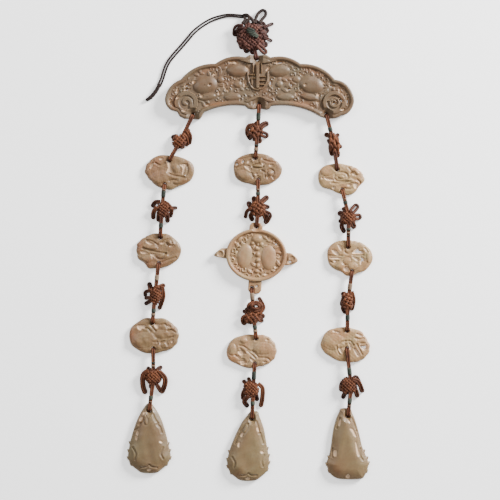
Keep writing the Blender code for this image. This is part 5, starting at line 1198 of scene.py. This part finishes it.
# Knots, in photograph steps from each knot's own middle: a woven body (centre, half length, half
# width, turn), the two ways its cords run, its bows (root to tip, width, open, dye) and its thread
# wraps above and below (from, to, silk)
knotSettings = {
    "size": 0.0095, "strand": 0.00082, "pitch": 0.00188, "thin": 0.00106, "link": 0.00088,
    "weaveRise": 0.00062, "sides": 9, "spacing": 0.00062, "linkLevel": 0.0050, "high": 0.0075,
    "filledBow": 3.85, "openBow": 4.0, "bowLevels": (0.0042, 0.0054),
    "bandWidth": 1.9, "threadThick": 0.00016, "bandLow": 0.0042, "bandSides": 14,
    "coreShare": 0.84, "coreHeights": (0.0012, 0.0050), "plug": (0.0006, 0.0016, 0.0026, 0.0034),
}
knots = {
    "left_knot_1": {"coarse": 1.15, "size": 0.92, "body": (-2.2, -2.2, 7.2, 6.4, 40), "weave": (48, -42), "bows": (
        (((-4, 3), (-10.8, 2)), 5.0, 1, 0.2), (((-4, -3), (-9.6, -5.6)), 4.8, 0, 0.3),
        (((-1, -4), (2, -10)), 6.4, 0, 0.7), (((1.4, 5), (4.4, 1), (5.4, -7.4)), 4.8, 0, 0.8),
        (((3.6, 6), (8.2, 10.8)), 4.8, 0, 0.1), (((5.4, 9), (8.4, 3), (7.2, -5.6)), 5.0, 0, 0.4),
        (((4, 3), (9.6, 6.8)), 4.4, 0, 0.6)),
        "above": (), "below": ()},
    "left_knot_2": {"size": 1.05, "body": (1.5, 1.5, 8.2, 6.8, 80), "weave": (50, -40), "bows": (
        (((-1.5, 9), (-7, 8), (-10.4, 3)), 4.8, 1, 0.3), (((-5, 4), (-8.4, -2), (-9, -9)), 4.8, 0, 0.5),
        (((-3, -2), (-4, -11.6)), 4.6, 0, 0.5), (((5, 8), (9.6, 1), (8, -7)), 4.2, 0, 0.6),
        (((5, -2), (5.6, -12.4)), 5.0, 1, 0.1), (((8, 2.5), (15.6, 3)), 3.8, 1, 0.2)),
        "above": ((13.5, 20, "green"), (20.2, 22, "cream")), "below": ((12.5, 17.5, "green"),)},
    "left_knot_3": {"size": 1.08, "body": (1, 1, 9.6, 5.8, 85), "weave": (54, -36), "bows": (
        (((2, 8), (10.2, 11.4)), 5.0, 0, 0.8), (((7.6, 10), (8.4, 0), (6, -8), (3.6, -14)), 4.6, 0, 0.6),
        (((-3, 3), (-6.4, 14)), 5.4, 1, 0.2), (((-3, -1), (-11.4, -2.4)), 3.8, 0, 0.5),
        (((-3, -4), (-10.8, -8.4)), 4.4, 1, 0.2), (((-3, 6), (-9.4, 4), (-9.8, -1)), 4.0, 0, 0.2)),
        "above": ((15.5, 22, "cream"),), "below": ((12.5, 16.5, "green"), (17, 20, "cream"))},
    "left_knot_4": {"size": 1.12, "body": (0, 3, 8.0, 8.0, 0), "weave": (46, -44), "bows": (
        (((-5, 10), (-10.4, 5), (-10.6, -6), (-8, -14.4)), 5.4, 0, 0.6), (((-2, 9), (-7, 12.6)), 4.4, 1, 0.4),
        (((3, 10), (8.6, 13.4)), 4.4, 1, 0.1), (((6, 9), (11.4, 2), (11.2, -5), (7.6, -13.8)), 5.4, 0, 0.5),
        (((3, -4), (8, -13)), 4.4, 0, 0.4), (((-2, -3), (-3.4, -9)), 4.4, 0, 0.6)),
        "above": ((13, 15.5, "cream"), (16, 18.5, "green")), "below": ((15, 20, "green"), (20.5, 22.5, "cream"))},
    "centre_knot_1": {"coarse": 1.6, "size": 0.98, "body": (-2.6, -1.4, 7.6, 7.0, 60), "weave": (52, -46), "bows": (
        (((-2, 7), (-9, 5), (-10.4, -2), (-6.4, -8.6)), 4.2, 0, 0.6), (((-1, 3), (-0.6, 10.8)), 5.6, 0, 0.8),
        (((2, 3), (6.6, 7), (11.6, 8)), 6.0, 0, 0.2), (((3, -2), (11.4, -5)), 7.0, 1, 0.1),
        (((0, -5), (3.2, -12)), 5.2, 0, 0.7), (((-3, -4), (2, 1), (5, 5)), 4.2, 0, 0.9)),
        "above": ((11, 18, "green"),), "below": ((13, 15.6, "green"), (16, 20, "cream"))},
    "centre_knot_2": {"coarse": 1.35, "size": 1.12, "body": (0, 0.6, 8.0, 7.2, 90), "weave": (50, -40), "bows": (
        (((2, 6), (10.6, 13.4)), 5.8, 0, 0.3), (((-3, 0), (-4.2, 13.6)), 5.2, 0, 0.7),
        (((-5, -3), (-10.4, 8.4)), 5.6, 1, 0.3), (((-6, 1), (-11, -2), (-13, -9.4)), 3.8, 0, 0.5),
        (((0, 4), (5, 9.6)), 5.0, 0, 0.9), (((4, -1), (9, -12)), 4.8, 0, 0.5),
        (((-2, -2), (-7, -6), (-5, -12)), 5.0, 0, 0.3), (((4, 4), (12.2, 1.6)), 4.6, 0, 0.3),
        (((4, -2), (11.4, -6), (6.6, -14.8)), 5.8, 1, 0.2), (((2, -1), (11, -8)), 4.2, 0, 0.7)),
        "above": ((14, 18, "green"), (18.4, 20.5, "cream")), "below": ()},
    "centre_knot_3": {"coarse": 1.45, "size": 1.02, "body": (-1, -3, 8.2, 6.2, 10), "weave": (40, -50), "rings": (
        (1.4, 7.6, 6.8, 4.4, 0.0014, 0.0052), (1.6, 8.0, 4.0, 2.2, 0.0012, 0.0066)), "bows": (
        (((-6, 4), (-7.6, 6.6)), 4.6, 0, 0.5), (((6, 0), (10.2, 7), (5, 17.4)), 3.8, 0, 0.8),
        (((-4, 1), (-11, 3.4)), 4.2, 0, 0.3), (((-3, -3), (-9.6, -4), (-8.6, -11.6)), 6.4, 0, 0.9),
        (((3, -1), (12, -2.4)), 5.6, 0, 0.6), (((2, -4), (10.6, -7.4)), 4.6, 0, 0.4)),
        "above": ((14, 21.5, "cream"),), "below": ((11, 15, "green"), (15.4, 18.5, "cream"))},
    "centre_knot_4": {"size": 1.05, "body": (-2, 4, 8.4, 7.6, 95), "weave": (46, -44), "bows": (
        (((-4, 7), (-10.6, 12.8)), 4.2, 0, 0.5), (((-2, 9), (-5, 16)), 4.2, 0, 0.7),
        (((-5, 6), (-9.6, 1), (-10.2, -7)), 4.4, 0, 0.8), (((-4, -2), (-8.6, -8), (-4.6, -14.4)), 5.2, 1, 0.2),
        (((5, 10), (9.4, 5), (9.2, -6), (7.4, -14.6)), 4.8, 0, 0.8), (((2, 2), (4.4, -8.4)), 5.0, 0, 0.1)),
        "above": ((14, 22, "green"),), "below": ((8, 12.5, "green"),)},
    "right_knot_1": {"coarse": 1.5, "size": 0.98, "body": (0.5, -0.5, 11.4, 5.6, 105), "weave": (120, 92), "bows": (
        (((-1, 7), (-9.4, 10)), 5.0, 0, 0.6), (((1, 4), (5.2, 10.6)), 4.2, 0, 0.6),
        (((2, 0), (8.8, -4)), 4.6, 0, 0.6), (((2, -5), (5, -13.8)), 5.0, 0, 0.7),
        (((-2, 4), (-3, -4), (-1, -12.4)), 4.8, 0, 0.7)),
        "above": ((12, 17, "green"),), "below": ()},
    "right_knot_2": {"size": 1.08, "body": (-0.5, -0.5, 7.6, 7.2, 0), "weave": (46, -44), "bows": (
        (((-4, 3), (-11.4, 4.4)), 5.6, 0, 0.3), (((-4, -2), (-10.4, -4.8)), 4.6, 0, 0.2),
        (((-5, -3), (-7, -9), (-3.4, -16)), 4.8, 1, 0.1), (((2, 4), (9.6, 13)), 7.4, 1, 0.2),
        (((5, 0), (13.4, 0.6)), 7.4, 1, 0.5), (((2, -3), (6.6, -11.6)), 6.0, 1, 0.5),
        (((-2, 5), (-6, 10)), 4.4, 0, 0.6)),
        "above": ((13, 17, "green"), (17.4, 19, "cream")), "below": ((10.5, 14, "green"), (14.4, 17, "cream"), (17.4, 19.5, "green"))},
    "right_knot_3": {"coarse": 1.3, "size": 0.84, "body": (-0.5, 1, 9.6, 5.4, 92), "weave": (60, -30), "bows": (
        (((4, 11), (5.8, 2), (4, -9)), 4.6, 0, 0.9), (((-1, 6), (-6.6, 9.6)), 4.8, 0, 0.3),
        (((-3, 5), (-5.4, 0), (-5, -5)), 4.6, 0, 0.3), (((-2, 0), (-4.2, -6), (-0.8, -11.6)), 5.8, 1, 0.2)),
        "above": ((12, 19, "cream"),), "below": ((12, 18.5, "green"),)},
    "right_knot_4": {"size": 1.02, "body": (-2.6, 1.4, 8.6, 8.2, 110), "weave": (46, -44), "bows": (
        (((-4, 8), (-9.2, 3), (-9.6, -5)), 4.8, 0, 0.8), (((1, 8), (7.4, 5), (12.2, -6)), 5.0, 0, 0.4),
        (((3, 2), (7.2, -11)), 5.0, 0, 0.4), (((-5, -2), (-8.4, -12.4)), 4.8, 1, 0.3),
        (((0, 6), (5, 10), (9.6, 2)), 4.4, 0, 0.1)),
        "above": ((12, 20, "green"),), "below": ((11, 16.8, "green"), (17.2, 19, "cream"))},
}


def bodyWeave(centre, half, width, turn, ways, settings, coarse, draw):
    # Closed rounds of cord, half of them running each way: a pass over the front that rises and
    # falls once at every crossing, a half turn round the body's edge, and a flat pass below. Each
    # round is as long as its line's chord through the body's ellipse.
    radius, pitch = settings["strand"] * coarse, settings["pitch"] * coarse
    low = radius * 1.05
    turns = np.linspace(0, np.pi, 7)[1:-1]
    parts = []
    for family, way in enumerate(ways):
        dx, dy = math.cos(math.radians(way)), math.sin(math.radians(way))
        count = int(1.25 * max(half, width) / pitch)
        for k in range(-count, count + 1):
            offset = k * pitch + draw.uniform(-0.1, 0.1) * pitch
            ox, oy = -dy * offset, dx * offset
            lx, ly = turned(ox, oy, turn)
            ex, ey = turned(dx, dy, turn)
            qa = (ex / half) ** 2 + (ey / width) ** 2
            qb = 2 * (lx * ex / half ** 2 + ly * ey / width ** 2)
            qc = (lx / half) ** 2 + (ly / width) ** 2 - 1
            under = qb * qb - 4 * qa * qc
            if under <= 0:
                continue
            t0, t1 = (-qb - math.sqrt(under)) / (2 * qa), (-qb + math.sqrt(under)) / (2 * qa)
            if t1 - t0 < 3.4 * radius:
                continue
            rim = abs(offset) / max(half, width)
            crown = 0.66 + 0.34 * math.sqrt(max(0.0, 1 - rim ** 2))
            top = settings["high"] * crown + draw.uniform(-0.0003, 0.0001)
            t = np.linspace(t0 + radius, t1 - radius, max(8, int((t1 - t0) / settings["spacing"])))
            wave = np.cos(np.pi * t / pitch) * (1 if (k + family) % 2 else -1)
            share = (2 * t - t0 - t1) / (t1 - t0)
            z = top * np.sqrt(1 - 0.5 * share ** 2) - radius + settings["weaveRise"] * (wave - 1) * 0.9
            sway = 0.00018 * np.sin(t / pitch * 1.7 + k)
            frontPass = np.stack([ox + dx * t - dy * sway, oy + dy * t + dx * sway, z], 1)
            ends = []
            for at, sign, lift in ((t[-1], 1, z[-1]), (t[0], -1, z[0])):
                out = at + sign * radius * 0.7 * np.sin(turns)
                level = (lift + low) / 2 + (lift - low) / 2 * np.cos(turns)
                ends.append(np.stack([ox + dx * out, oy + dy * out, level], 1))
            backT = np.linspace(t[-1], t[0], 6)
            backPass = np.stack([ox + dx * backT, oy + dy * backT, np.full(6, low)], 1)
            path = np.vstack([frontPass, ends[0], backPass, ends[1][::-1], frontPass[:1]])
            path[:, :2] += centre
            parts.append(tube(path, radius, settings["sides"]))
    return parts


def bowLoop(centre, points, width, radius, settings, high):
    # A bow of cord: out from the body beside a curved middle line, half a turn round its tip and
    # back on the other side, lowest at the tip.
    half = max(width / 2 * unit - radius, radius * 0.96)
    step = 0.0004
    line = evenLine([np.array(p) * unit for p in points], step)
    along = np.gradient(line, axis=0)
    along /= np.linalg.norm(along, axis=1)[:, None]
    kept = max(3, len(line) - int(round((half + radius) / step)))
    line, along = line[:kept], along[:kept]
    across = np.stack([-along[:, 1], along[:, 0]], 1)
    share = np.linspace(0, 1, kept)
    spread = half * (0.6 + 0.4 * np.sin(np.clip(share * 1.8, 0, 1) * np.pi / 2))[:, None]
    a = np.linspace(np.pi / 2, -np.pi / 2, 9)[1:-1, None]
    tip = line[-1] + along[-1] * half * np.cos(a) + across[-1] * half * np.sin(a)
    plan = np.vstack([line + across * spread, tip, (line - across * spread)[::-1]])
    rise = high - (high - radius * 1.15) * share ** 1.6
    z = np.concatenate([rise, np.full(len(a), rise[-1]), rise[::-1]])
    path = np.column_stack([plan + centre, z])
    return tube(evenLine(path[::2], settings["spacing"]), radius, settings["sides"])


def linkPath(centre, hole, side, settings):
    # One of two cords side by side from the knot to the hole, over the jade's edge and down in.
    # Rows: how far along, how far to its side, height.
    away = hole - centre
    length = np.linalg.norm(away)
    along = away / length
    across = np.array([-along[1], along[0]]) * side
    r, level = settings["link"], settings["linkLevel"]
    start = settings["size"] * 0.35
    rows = ((start, 1.0, 0.0048), (start + 0.45 * (length - start), 0.96, level),
            (length - 0.0030, 1.0, level), (length - 0.0012, 0.95, level - 0.0004),
            (length - 0.0003, 0.9, level - 0.0020), (length - 0.0001, 0.9, 0.0012))
    points = [np.append(centre + along * t + across * (r * 0.9 * w), z) for t, w, z in rows]
    return evenLine(points, settings["spacing"])


def pillow(centre, half, width, turn, heights):
    # A closed oval cushion: rings of an ellipse shrunk by the cosine of the angle up from its rim.
    rings, cols = 5, 24
    low, high = heights
    up = np.linspace(-np.pi / 2, np.pi / 2, rings + 2)[1:-1, None]
    around = 2 * np.pi * np.arange(cols) / cols
    lx = half * np.cos(up) ** 0.5 * np.cos(around)
    ly = width * np.cos(up) ** 0.5 * np.sin(around)
    z = (low + high) / 2 + (high - low) / 2 * np.sin(up) + 0 * lx
    x, y = turnedOut(lx, ly, turn, centre)
    verts = np.vstack([np.stack([x, y, z], -1).reshape(-1, 3), [[*centre, low], [*centre, high]]])
    quads, tris, _, _ = ringFaces(rings, cols)
    quads, tris = quads[:, [0, 3, 2, 1]], tris[:, [0, 2, 1]]
    return verts, quads, tris, np.zeros((len(quads), 4, 2)), np.zeros((len(tris), 3, 2))


wraps = {"green": [], "cream": []}


def holePlug(hole, radius):
    # The cord going down through a hole: a short upright cord that fills it.
    return tube(np.array([(*hole, z) for z in knotSettings["plug"]]), radius, 12)


def wrapBand(centre, hole, start, end, settings):
    # A close winding of thread round both cords: a sleeve along the line midway between them.
    line = linkPath(centre, hole, 0, settings)
    away = np.hypot(*(line[:, :2] - centre).T)
    line = line[(away > start * unit) & (away < end * unit) & (line[:, 2] > settings["bandLow"])]
    radius = settings["bandWidth"] * settings["link"] + settings["threadThick"]
    ends = np.minimum(np.arange(len(line)), np.arange(len(line))[::-1])
    return tube(line, radius * np.where(ends == 0, 0.86, 1.0), settings["bandSides"])


def buildKnot(name, centre, fromHole, toHole):
    # A woven body with bows on it, the doubled cords to both holes with their wraps, and a dark
    # core that fills the body, painted shade seen between the strands.
    spec, s = knots[name], knotSettings
    draw = np.random.default_rng(len(name) * 7 + int(name[-1]) + ord(name[0]))
    cx, cy, half, width, turn = spec["body"]
    half, width, middle = half * unit, width * unit, centre + np.array((cx, cy)) * unit
    parts = bodyWeave(middle, half, width, turn, spec["weave"], s, spec.get("coarse", 1.0), draw)
    tones = [draw.uniform(0.45, 0.95) for _ in parts]
    around = np.linspace(0, 2 * np.pi, 40)
    for rx, ry, a, b, radius, level in spec.get("rings", ()):
        ring = np.stack([(rx + a * np.cos(around)) * unit + centre[0], (ry + b * np.sin(around)) * unit + centre[1],
                         level + 0.0004 * np.sin(3 * around)], 1)
        parts.append(tube(ring, radius, s["sides"]))
        tones.append(0.5)
    for k, (points, wide, opened, tone) in enumerate(spec["bows"]):
        radius = wide * unit / s["filledBow"]
        if opened:
            radius = min(s["thin"] * 1.2, wide * unit / s["openBow"])
        parts.append(bowLoop(centre, points, wide, radius, s, s["bowLevels"][k % 2]))
        tones.append(0.25 + 0.75 * tone)
    for hole, bands in ((fromHole, spec["above"]), (toHole, spec["below"])):
        for side in (-1, 1):
            parts.append(tube(linkPath(centre, hole, side, s), s["link"], s["sides"]))
            tones.append(draw.uniform(0.3, 0.8))
        parts.append(holePlug(hole, holeRadius * 0.9))
        tones.append(0.1)
        for start, end, colour in bands:
            wraps[colour].append(wrapBand(centre, hole, start, end, s))
    silkPiece(name + "_cord", parts, tones, "brown", name)
    # the core is near-black silk: painted shade seen between the strands
    core = pillow(middle, half * s["coreShare"], width * s["coreShare"], turn, s["coreHeights"])
    silkPiece(name + "_core", [core], [0.2], "dark")


# Strands: each knot's lean and free cord above and below it, and the jade that it carries
strands = {
    "left": (((-25.4, 0.0128, -29.9, 0.0110), "left_oval_1"), ((-5.3, 0.0108, -3.6, 0.0117), "left_oval_2"),
             ((-6.3, 0.0160, -5.1, 0.0114), "left_oval_3"), ((0.6, 0.0143, -7.9, 0.0142), "left_drop")),
    "centre": (((-3.6, 0.0123, -4.3, 0.0122), "centre_oval_1"), ((0.0, 0.0129, -4.8, 0.0034), "medallion"),
               ((3.9, 0.0111, 6.1, 0.0101), "centre_oval_2"), ((-2.9, 0.0136, -2.3, 0.0106), "centre_drop")),
    "right": (((14.1, 0.0146, 7.7, 0.0117), "right_oval_1"), ((13.4, 0.0122, -1.1, 0.0139), "right_oval_2"),
              ((-7.7, 0.0168, -1.0, 0.0151), "right_oval_3"), ((6.2, 0.0213, -6.1, 0.0137), "right_drop")),
}


def below(point, lean, distance):
    # A place down the strand, by the angle that the cord leans to the right.
    angle = math.radians(lean)
    return point + np.array((math.sin(angle), -math.cos(angle))) * distance


for key, rows in strands.items():
    hole = plaqueHoles[key]
    for k, ((leanIn, freeIn, leanOut, freeOut), jadeName) in enumerate(rows, 1):
        name = f"{key}_knot_{k}"
        halfKnot = knotSettings["size"] * knots[name]["size"]
        centre = below(hole, leanIn, halfKnot + freeIn)
        nextHole = below(centre, leanOut, halfKnot + freeOut)
        buildKnot(name, centre, hole, nextHole)
        if jadeName == "medallion":
            hole = buildMedallion(nextHole)
        elif jadeName in ovals:
            hole = buildOval(jadeName, nextHole)
        else:
            buildDrop(jadeName, nextHole)
    print("stage:", key, "strand")


# Top knot, with its bows as the small knots have them, all filled
topCord = dict(knotSettings, strand=0.00098, pitch=0.0022, spacing=0.0007, weaveRise=0.00075, high=0.0094)
topKnot = {
    "grid": 36.0, "width": 0.0288, "place": (-5.5, 22.1), "body": (14.5, 13.5, 20), "core": (13.0, 12.0, 20),
    "coreHeights": (0.0012, 0.0066), "weave": (52, -38), "filledBow": 4.1,
    "bowLevels": (0.0076, 0.0058, 0.0068), "darkCord": 0.0013, "loopHigh": 0.0052, "loopDip": 0.0038,
    "endLevels": (0.0016, 0.0046, 0.0060), "thread": 0.00095, "threadLevels": (0.0080, 0.0096, 0.0096, 0.0080),
    # the last number of each bow is its share of faded dye; the bows on the right have low shares, kept dark as painted
    # shade on that side
    "bows": (
        (((-8, 10), (-15, 9), (-16.5, 1)), 6.4, 0.3), (((-8, 4), (-17, 6)), 6.0, 0.6),
        (((-7, -4), (-15.4, -3)), 6.0, 0.5), (((-6, -6), (-12.4, -11)), 6.6, 0.7),
        (((-2, -7), (-6.4, -15.6)), 7.0, 0.6), (((2, -8), (1, -17)), 6.4, 0.9),
        (((6, -8), (13, -14), (16.4, -15.6)), 6.6, 0.8), (((7, -4), (16.6, -8.4)), 6.2, 0.5),
        (((8, 0), (17.6, 1)), 6.4, 0.1), (((8, 5), (18, 8)), 7.0, 0.05), (((6, 9), (14, 15)), 7.0, 0.1),
        (((12, 9), (22.6, 14.8)), 3.6, 0.1), (((12, -1), (21.6, -3.4)), 3.6, 0.2),
        (((2, 9), (6, 18)), 6.0, 0.7), (((-4, 9), (-5, 19)), 6.4, 0.4)),
    "loop": ((3.8, 13.5), (4.2, 18.4), (7.1, 24.4), (11.2, 27.4), (14.2, 25.8), (14.0, 21.9), (11.0, 18.1), (7.8, 13.5)),
    "ends": (((-8.4, 22.2), (-4.6, 22.4), (-2.0, 19.4), (-4.6, 16.0), (-7.4, 12.4)),
             ((-7.6, 20.4), (-3.4, 21.0), (0.4, 17.6), (2.8, 13.4)), ((-7, 21.4), (-6.4, 17.4), (-9, 13.0))),
    "green": (((-4.4, 6.4), (4.6, 2.6)), ((-3.6, 4.4), (6.6, 0.6)), ((-1.4, 2.0), (5.8, -1.0)),
              ((-3.2, 8.0), (3.0, 5.4))),
}


def buildTopKnot(crown):
    # The large knot over the plaque, with its silk loop, two cord ends and green threads.
    s = topKnot
    draw = np.random.default_rng(5)
    scale = s["width"] / s["grid"]
    centre = crown + np.array(s["place"]) * scale
    half, width, turn = s["body"]
    parts = bodyWeave(centre, half * scale, width * scale, turn, s["weave"], topCord, 1.0, draw)
    tones = [draw.uniform(0.2, 0.9) for _ in parts]
    for k, (points, wide, tone) in enumerate(s["bows"]):
        parts.append(bowLoop(centre, points, wide, wide * unit / s["filledBow"], topCord, s["bowLevels"][k % 3]))
        tones.append(tone)
    for side in (-1, 1):
        parts.append(tube(linkPath(centre, crown, side, topCord), topCord["link"], topCord["sides"]))
        tones.append(0.6)
    silkPiece("top_knot_cord", parts, tones, "maroon", "top_knot")
    # the core is near-black silk: painted shade seen between the strands
    half, width, turn = s["core"]
    core = pillow(centre, half * scale, width * scale, turn, s["coreHeights"])
    silkPiece("top_knot_core", [core], [0.2], "dark")
    loop = np.array(s["loop"]) * scale + centre
    rise = s["loopHigh"] - s["loopDip"] * np.sin(np.linspace(0, np.pi, len(loop)))
    dark = [tube(evenLine(np.column_stack([loop, rise]), 0.0006), s["darkCord"], 10)]
    for line in s["ends"]:
        plan = np.array(line) * scale + centre
        rise = np.interp(np.linspace(0, 1, len(plan)), (0, 0.4, 1), s["endLevels"])
        dark.append(tube(evenLine(np.column_stack([plan, rise]), 0.0007), s["darkCord"], 10))
    silkPiece("top_knot_loop", dark, [0.3] * len(dark), "dark")
    for first, last in s["green"]:
        a, b = np.array(first) * scale + centre, np.array(last) * scale + centre
        line = [np.append(a + (b - a) * t, z) for t, z in zip((0, 0.2, 0.8, 1), s["threadLevels"])]
        wraps["green"].append(tube(evenLine(line, 0.0006), s["thread"], 10))
    return centre


knotMiddle = buildTopKnot(plaqueHoles["crown"])
print("stage: top knot")


for colour, parts in wraps.items():
    tones = [(0.25, 0.6, 0.4)[k % 3] for k in range(len(parts))]
    silkPiece("thread_wraps_" + colour, parts, tones, colour)


# Hanging cords, in millimetres from the top knot's middle
cordRoutes = {
    "hanging_cord_outer": {"diameter": 0.0016, "route": (
        (-6.25, 17.8), (-9.6, 18.2), (-17.9, 18.7), (-24.8, 17.7), (-32.9, 15.0), (-40.9, 10.2),
        (-47.4, 4.8), (-50.6, 1.0), (-57.0, -6.5), (-62.3, -12.4), (-66.6, -17.8), (-69.3, -22.6),
        (-71.2, -27.9), (-72.8, -33.3), (-75.2, -37.9))},
    "hanging_cord_inner": {"diameter": 0.0016, "route": (
        (-6.25, 16.2), (-9.6, 16.5), (-17.9, 17.1), (-24.6, 15.8), (-32.4, 12.9), (-40.0, 8.3),
        (-46.0, 3.2), (-49.3, -0.7), (-55.6, -8.1), (-60.9, -14.0), (-65.0, -19.1), (-67.4, -23.5),
        (-69.2, -28.5), (-70.8, -33.7), (-73.1, -39.1))},
}
tipBinding = {"diameter": 0.0034, "route": ((-73.3, -37.0), (-76.6, -43.0), (-81.0, -48.2), (-84.8, -50.4))}


def groundPath(route, diameter, spacing):
    # An even path that lies on the surface, half a cord up.
    points = [(knotMiddle[0] + x * mm, knotMiddle[1] + y * mm, diameter / 2) for x, y in route]
    return evenLine(points, spacing)


def buildHangingCords():
    # Two free cords, and their bound tip: a tube with six low beads that tapers at its end.
    path = groundPath(tipBinding["route"], tipBinding["diameter"], 0.0008)
    share = np.linspace(0, 1, len(path))
    bead = 1 - 0.10 * np.cos(share * 2 * np.pi * 6) - 0.45 * np.clip((share - 0.75) / 0.25, 0, 1) ** 2
    radius = tipBinding["diameter"] / 2 * np.minimum(bead, 1)
    tip = silkPiece("cord_tip_wrap", [tube(path, radius, 14)], [0.3], "dark", "cord_tip_binding")
    for name, spec in cordRoutes.items():
        path = groundPath(spec["route"], spec["diameter"], 0.0010)
        piece = silkPiece(name + "_silk", [tube(path, spec["diameter"] / 2, 12)], [0.6], "dark", name)


buildHangingCords()
print("stage: hanging cords")


# Floor, light and camera
viewSettings = {
    "middle": (-6.4, -115.5), "height": 1.2, "plane": 0.004, "across": 0.400, "sensor": 36.0,
    "floorHalf": 2.0, "floorDrop": 0.00005, "world": 0.41,
    "paper": {"Base Color": (0.9, 0.9, 0.9, 1), "Roughness": 0.9, "Emission Color": (1, 1, 1, 1),
              "Emission Strength": 0.75},
    "lights": {"key": {"at": (1.2, 0.88, 0.70), "size": 0.5, "power": 107.0},
               "fill": {"at": (-0.9, 0.5, 1.3), "size": 0.9, "power": 14.98}},
}


def buildStudio():
    # A camera straight above, a flat floor of 8 by 8 squares, a white world and two soft lights.
    s = viewSettings
    middle = plaquePlace + np.array(s["middle"]) * mm
    data = bpy.data.cameras.new("above")
    data.sensor_width = s["sensor"]
    data.lens = s["sensor"] * (s["height"] - s["plane"]) / s["across"]
    data.clip_start = 0.01
    camera = bpy.data.objects.new("above", data)
    camera.location = (middle[0], middle[1], s["height"])
    bpy.context.collection.objects.link(camera)
    bpy.context.scene.camera = camera
    span = np.linspace(-s["floorHalf"], s["floorHalf"], 9)
    x, y = (grid.ravel() for grid in np.meshgrid(span, span))
    i, k = np.meshgrid(np.arange(8), np.arange(8), indexing="ij")
    a = (i * 9 + k).ravel()
    verts = np.stack([x, y, np.full(len(x), -s["floorDrop"])], 1)
    floorData = newMesh("floor", verts, np.stack([a, a + 1, a + 10, a + 9], 1))
    floor = bpy.data.objects.new("floor", floorData)
    bpy.context.collection.objects.link(floor)
    paper = bpy.data.materials.new("floor_paper")
    paper.use_nodes = True
    for label, value in s["paper"].items():
        paper.node_tree.nodes["Principled BSDF"].inputs[label].default_value = value
    floorData.materials.append(paper)
    world = bpy.data.worlds.new("studio")
    world.use_nodes = True
    sky = world.node_tree.nodes["Background"]
    sky.inputs["Color"].default_value = (1, 1, 1, 1)
    sky.inputs["Strength"].default_value = s["world"]
    bpy.context.scene.world = world
    for name, spec in s["lights"].items():
        light = bpy.data.lights.new(name, "AREA")
        light.size, light.energy = spec["size"], spec["power"]
        lamp = bpy.data.objects.new(name, light)
        at = np.array(spec["at"])
        lamp.location = (middle[0] + at[0], middle[1] + at[1], at[2])
        aim = -at / np.linalg.norm(at)
        lamp.rotation_euler = (math.acos(-aim[2]), 0, math.atan2(aim[1], aim[0]) - math.pi / 2)
        bpy.context.collection.objects.link(lamp)


buildStudio()
print("stage: studio")
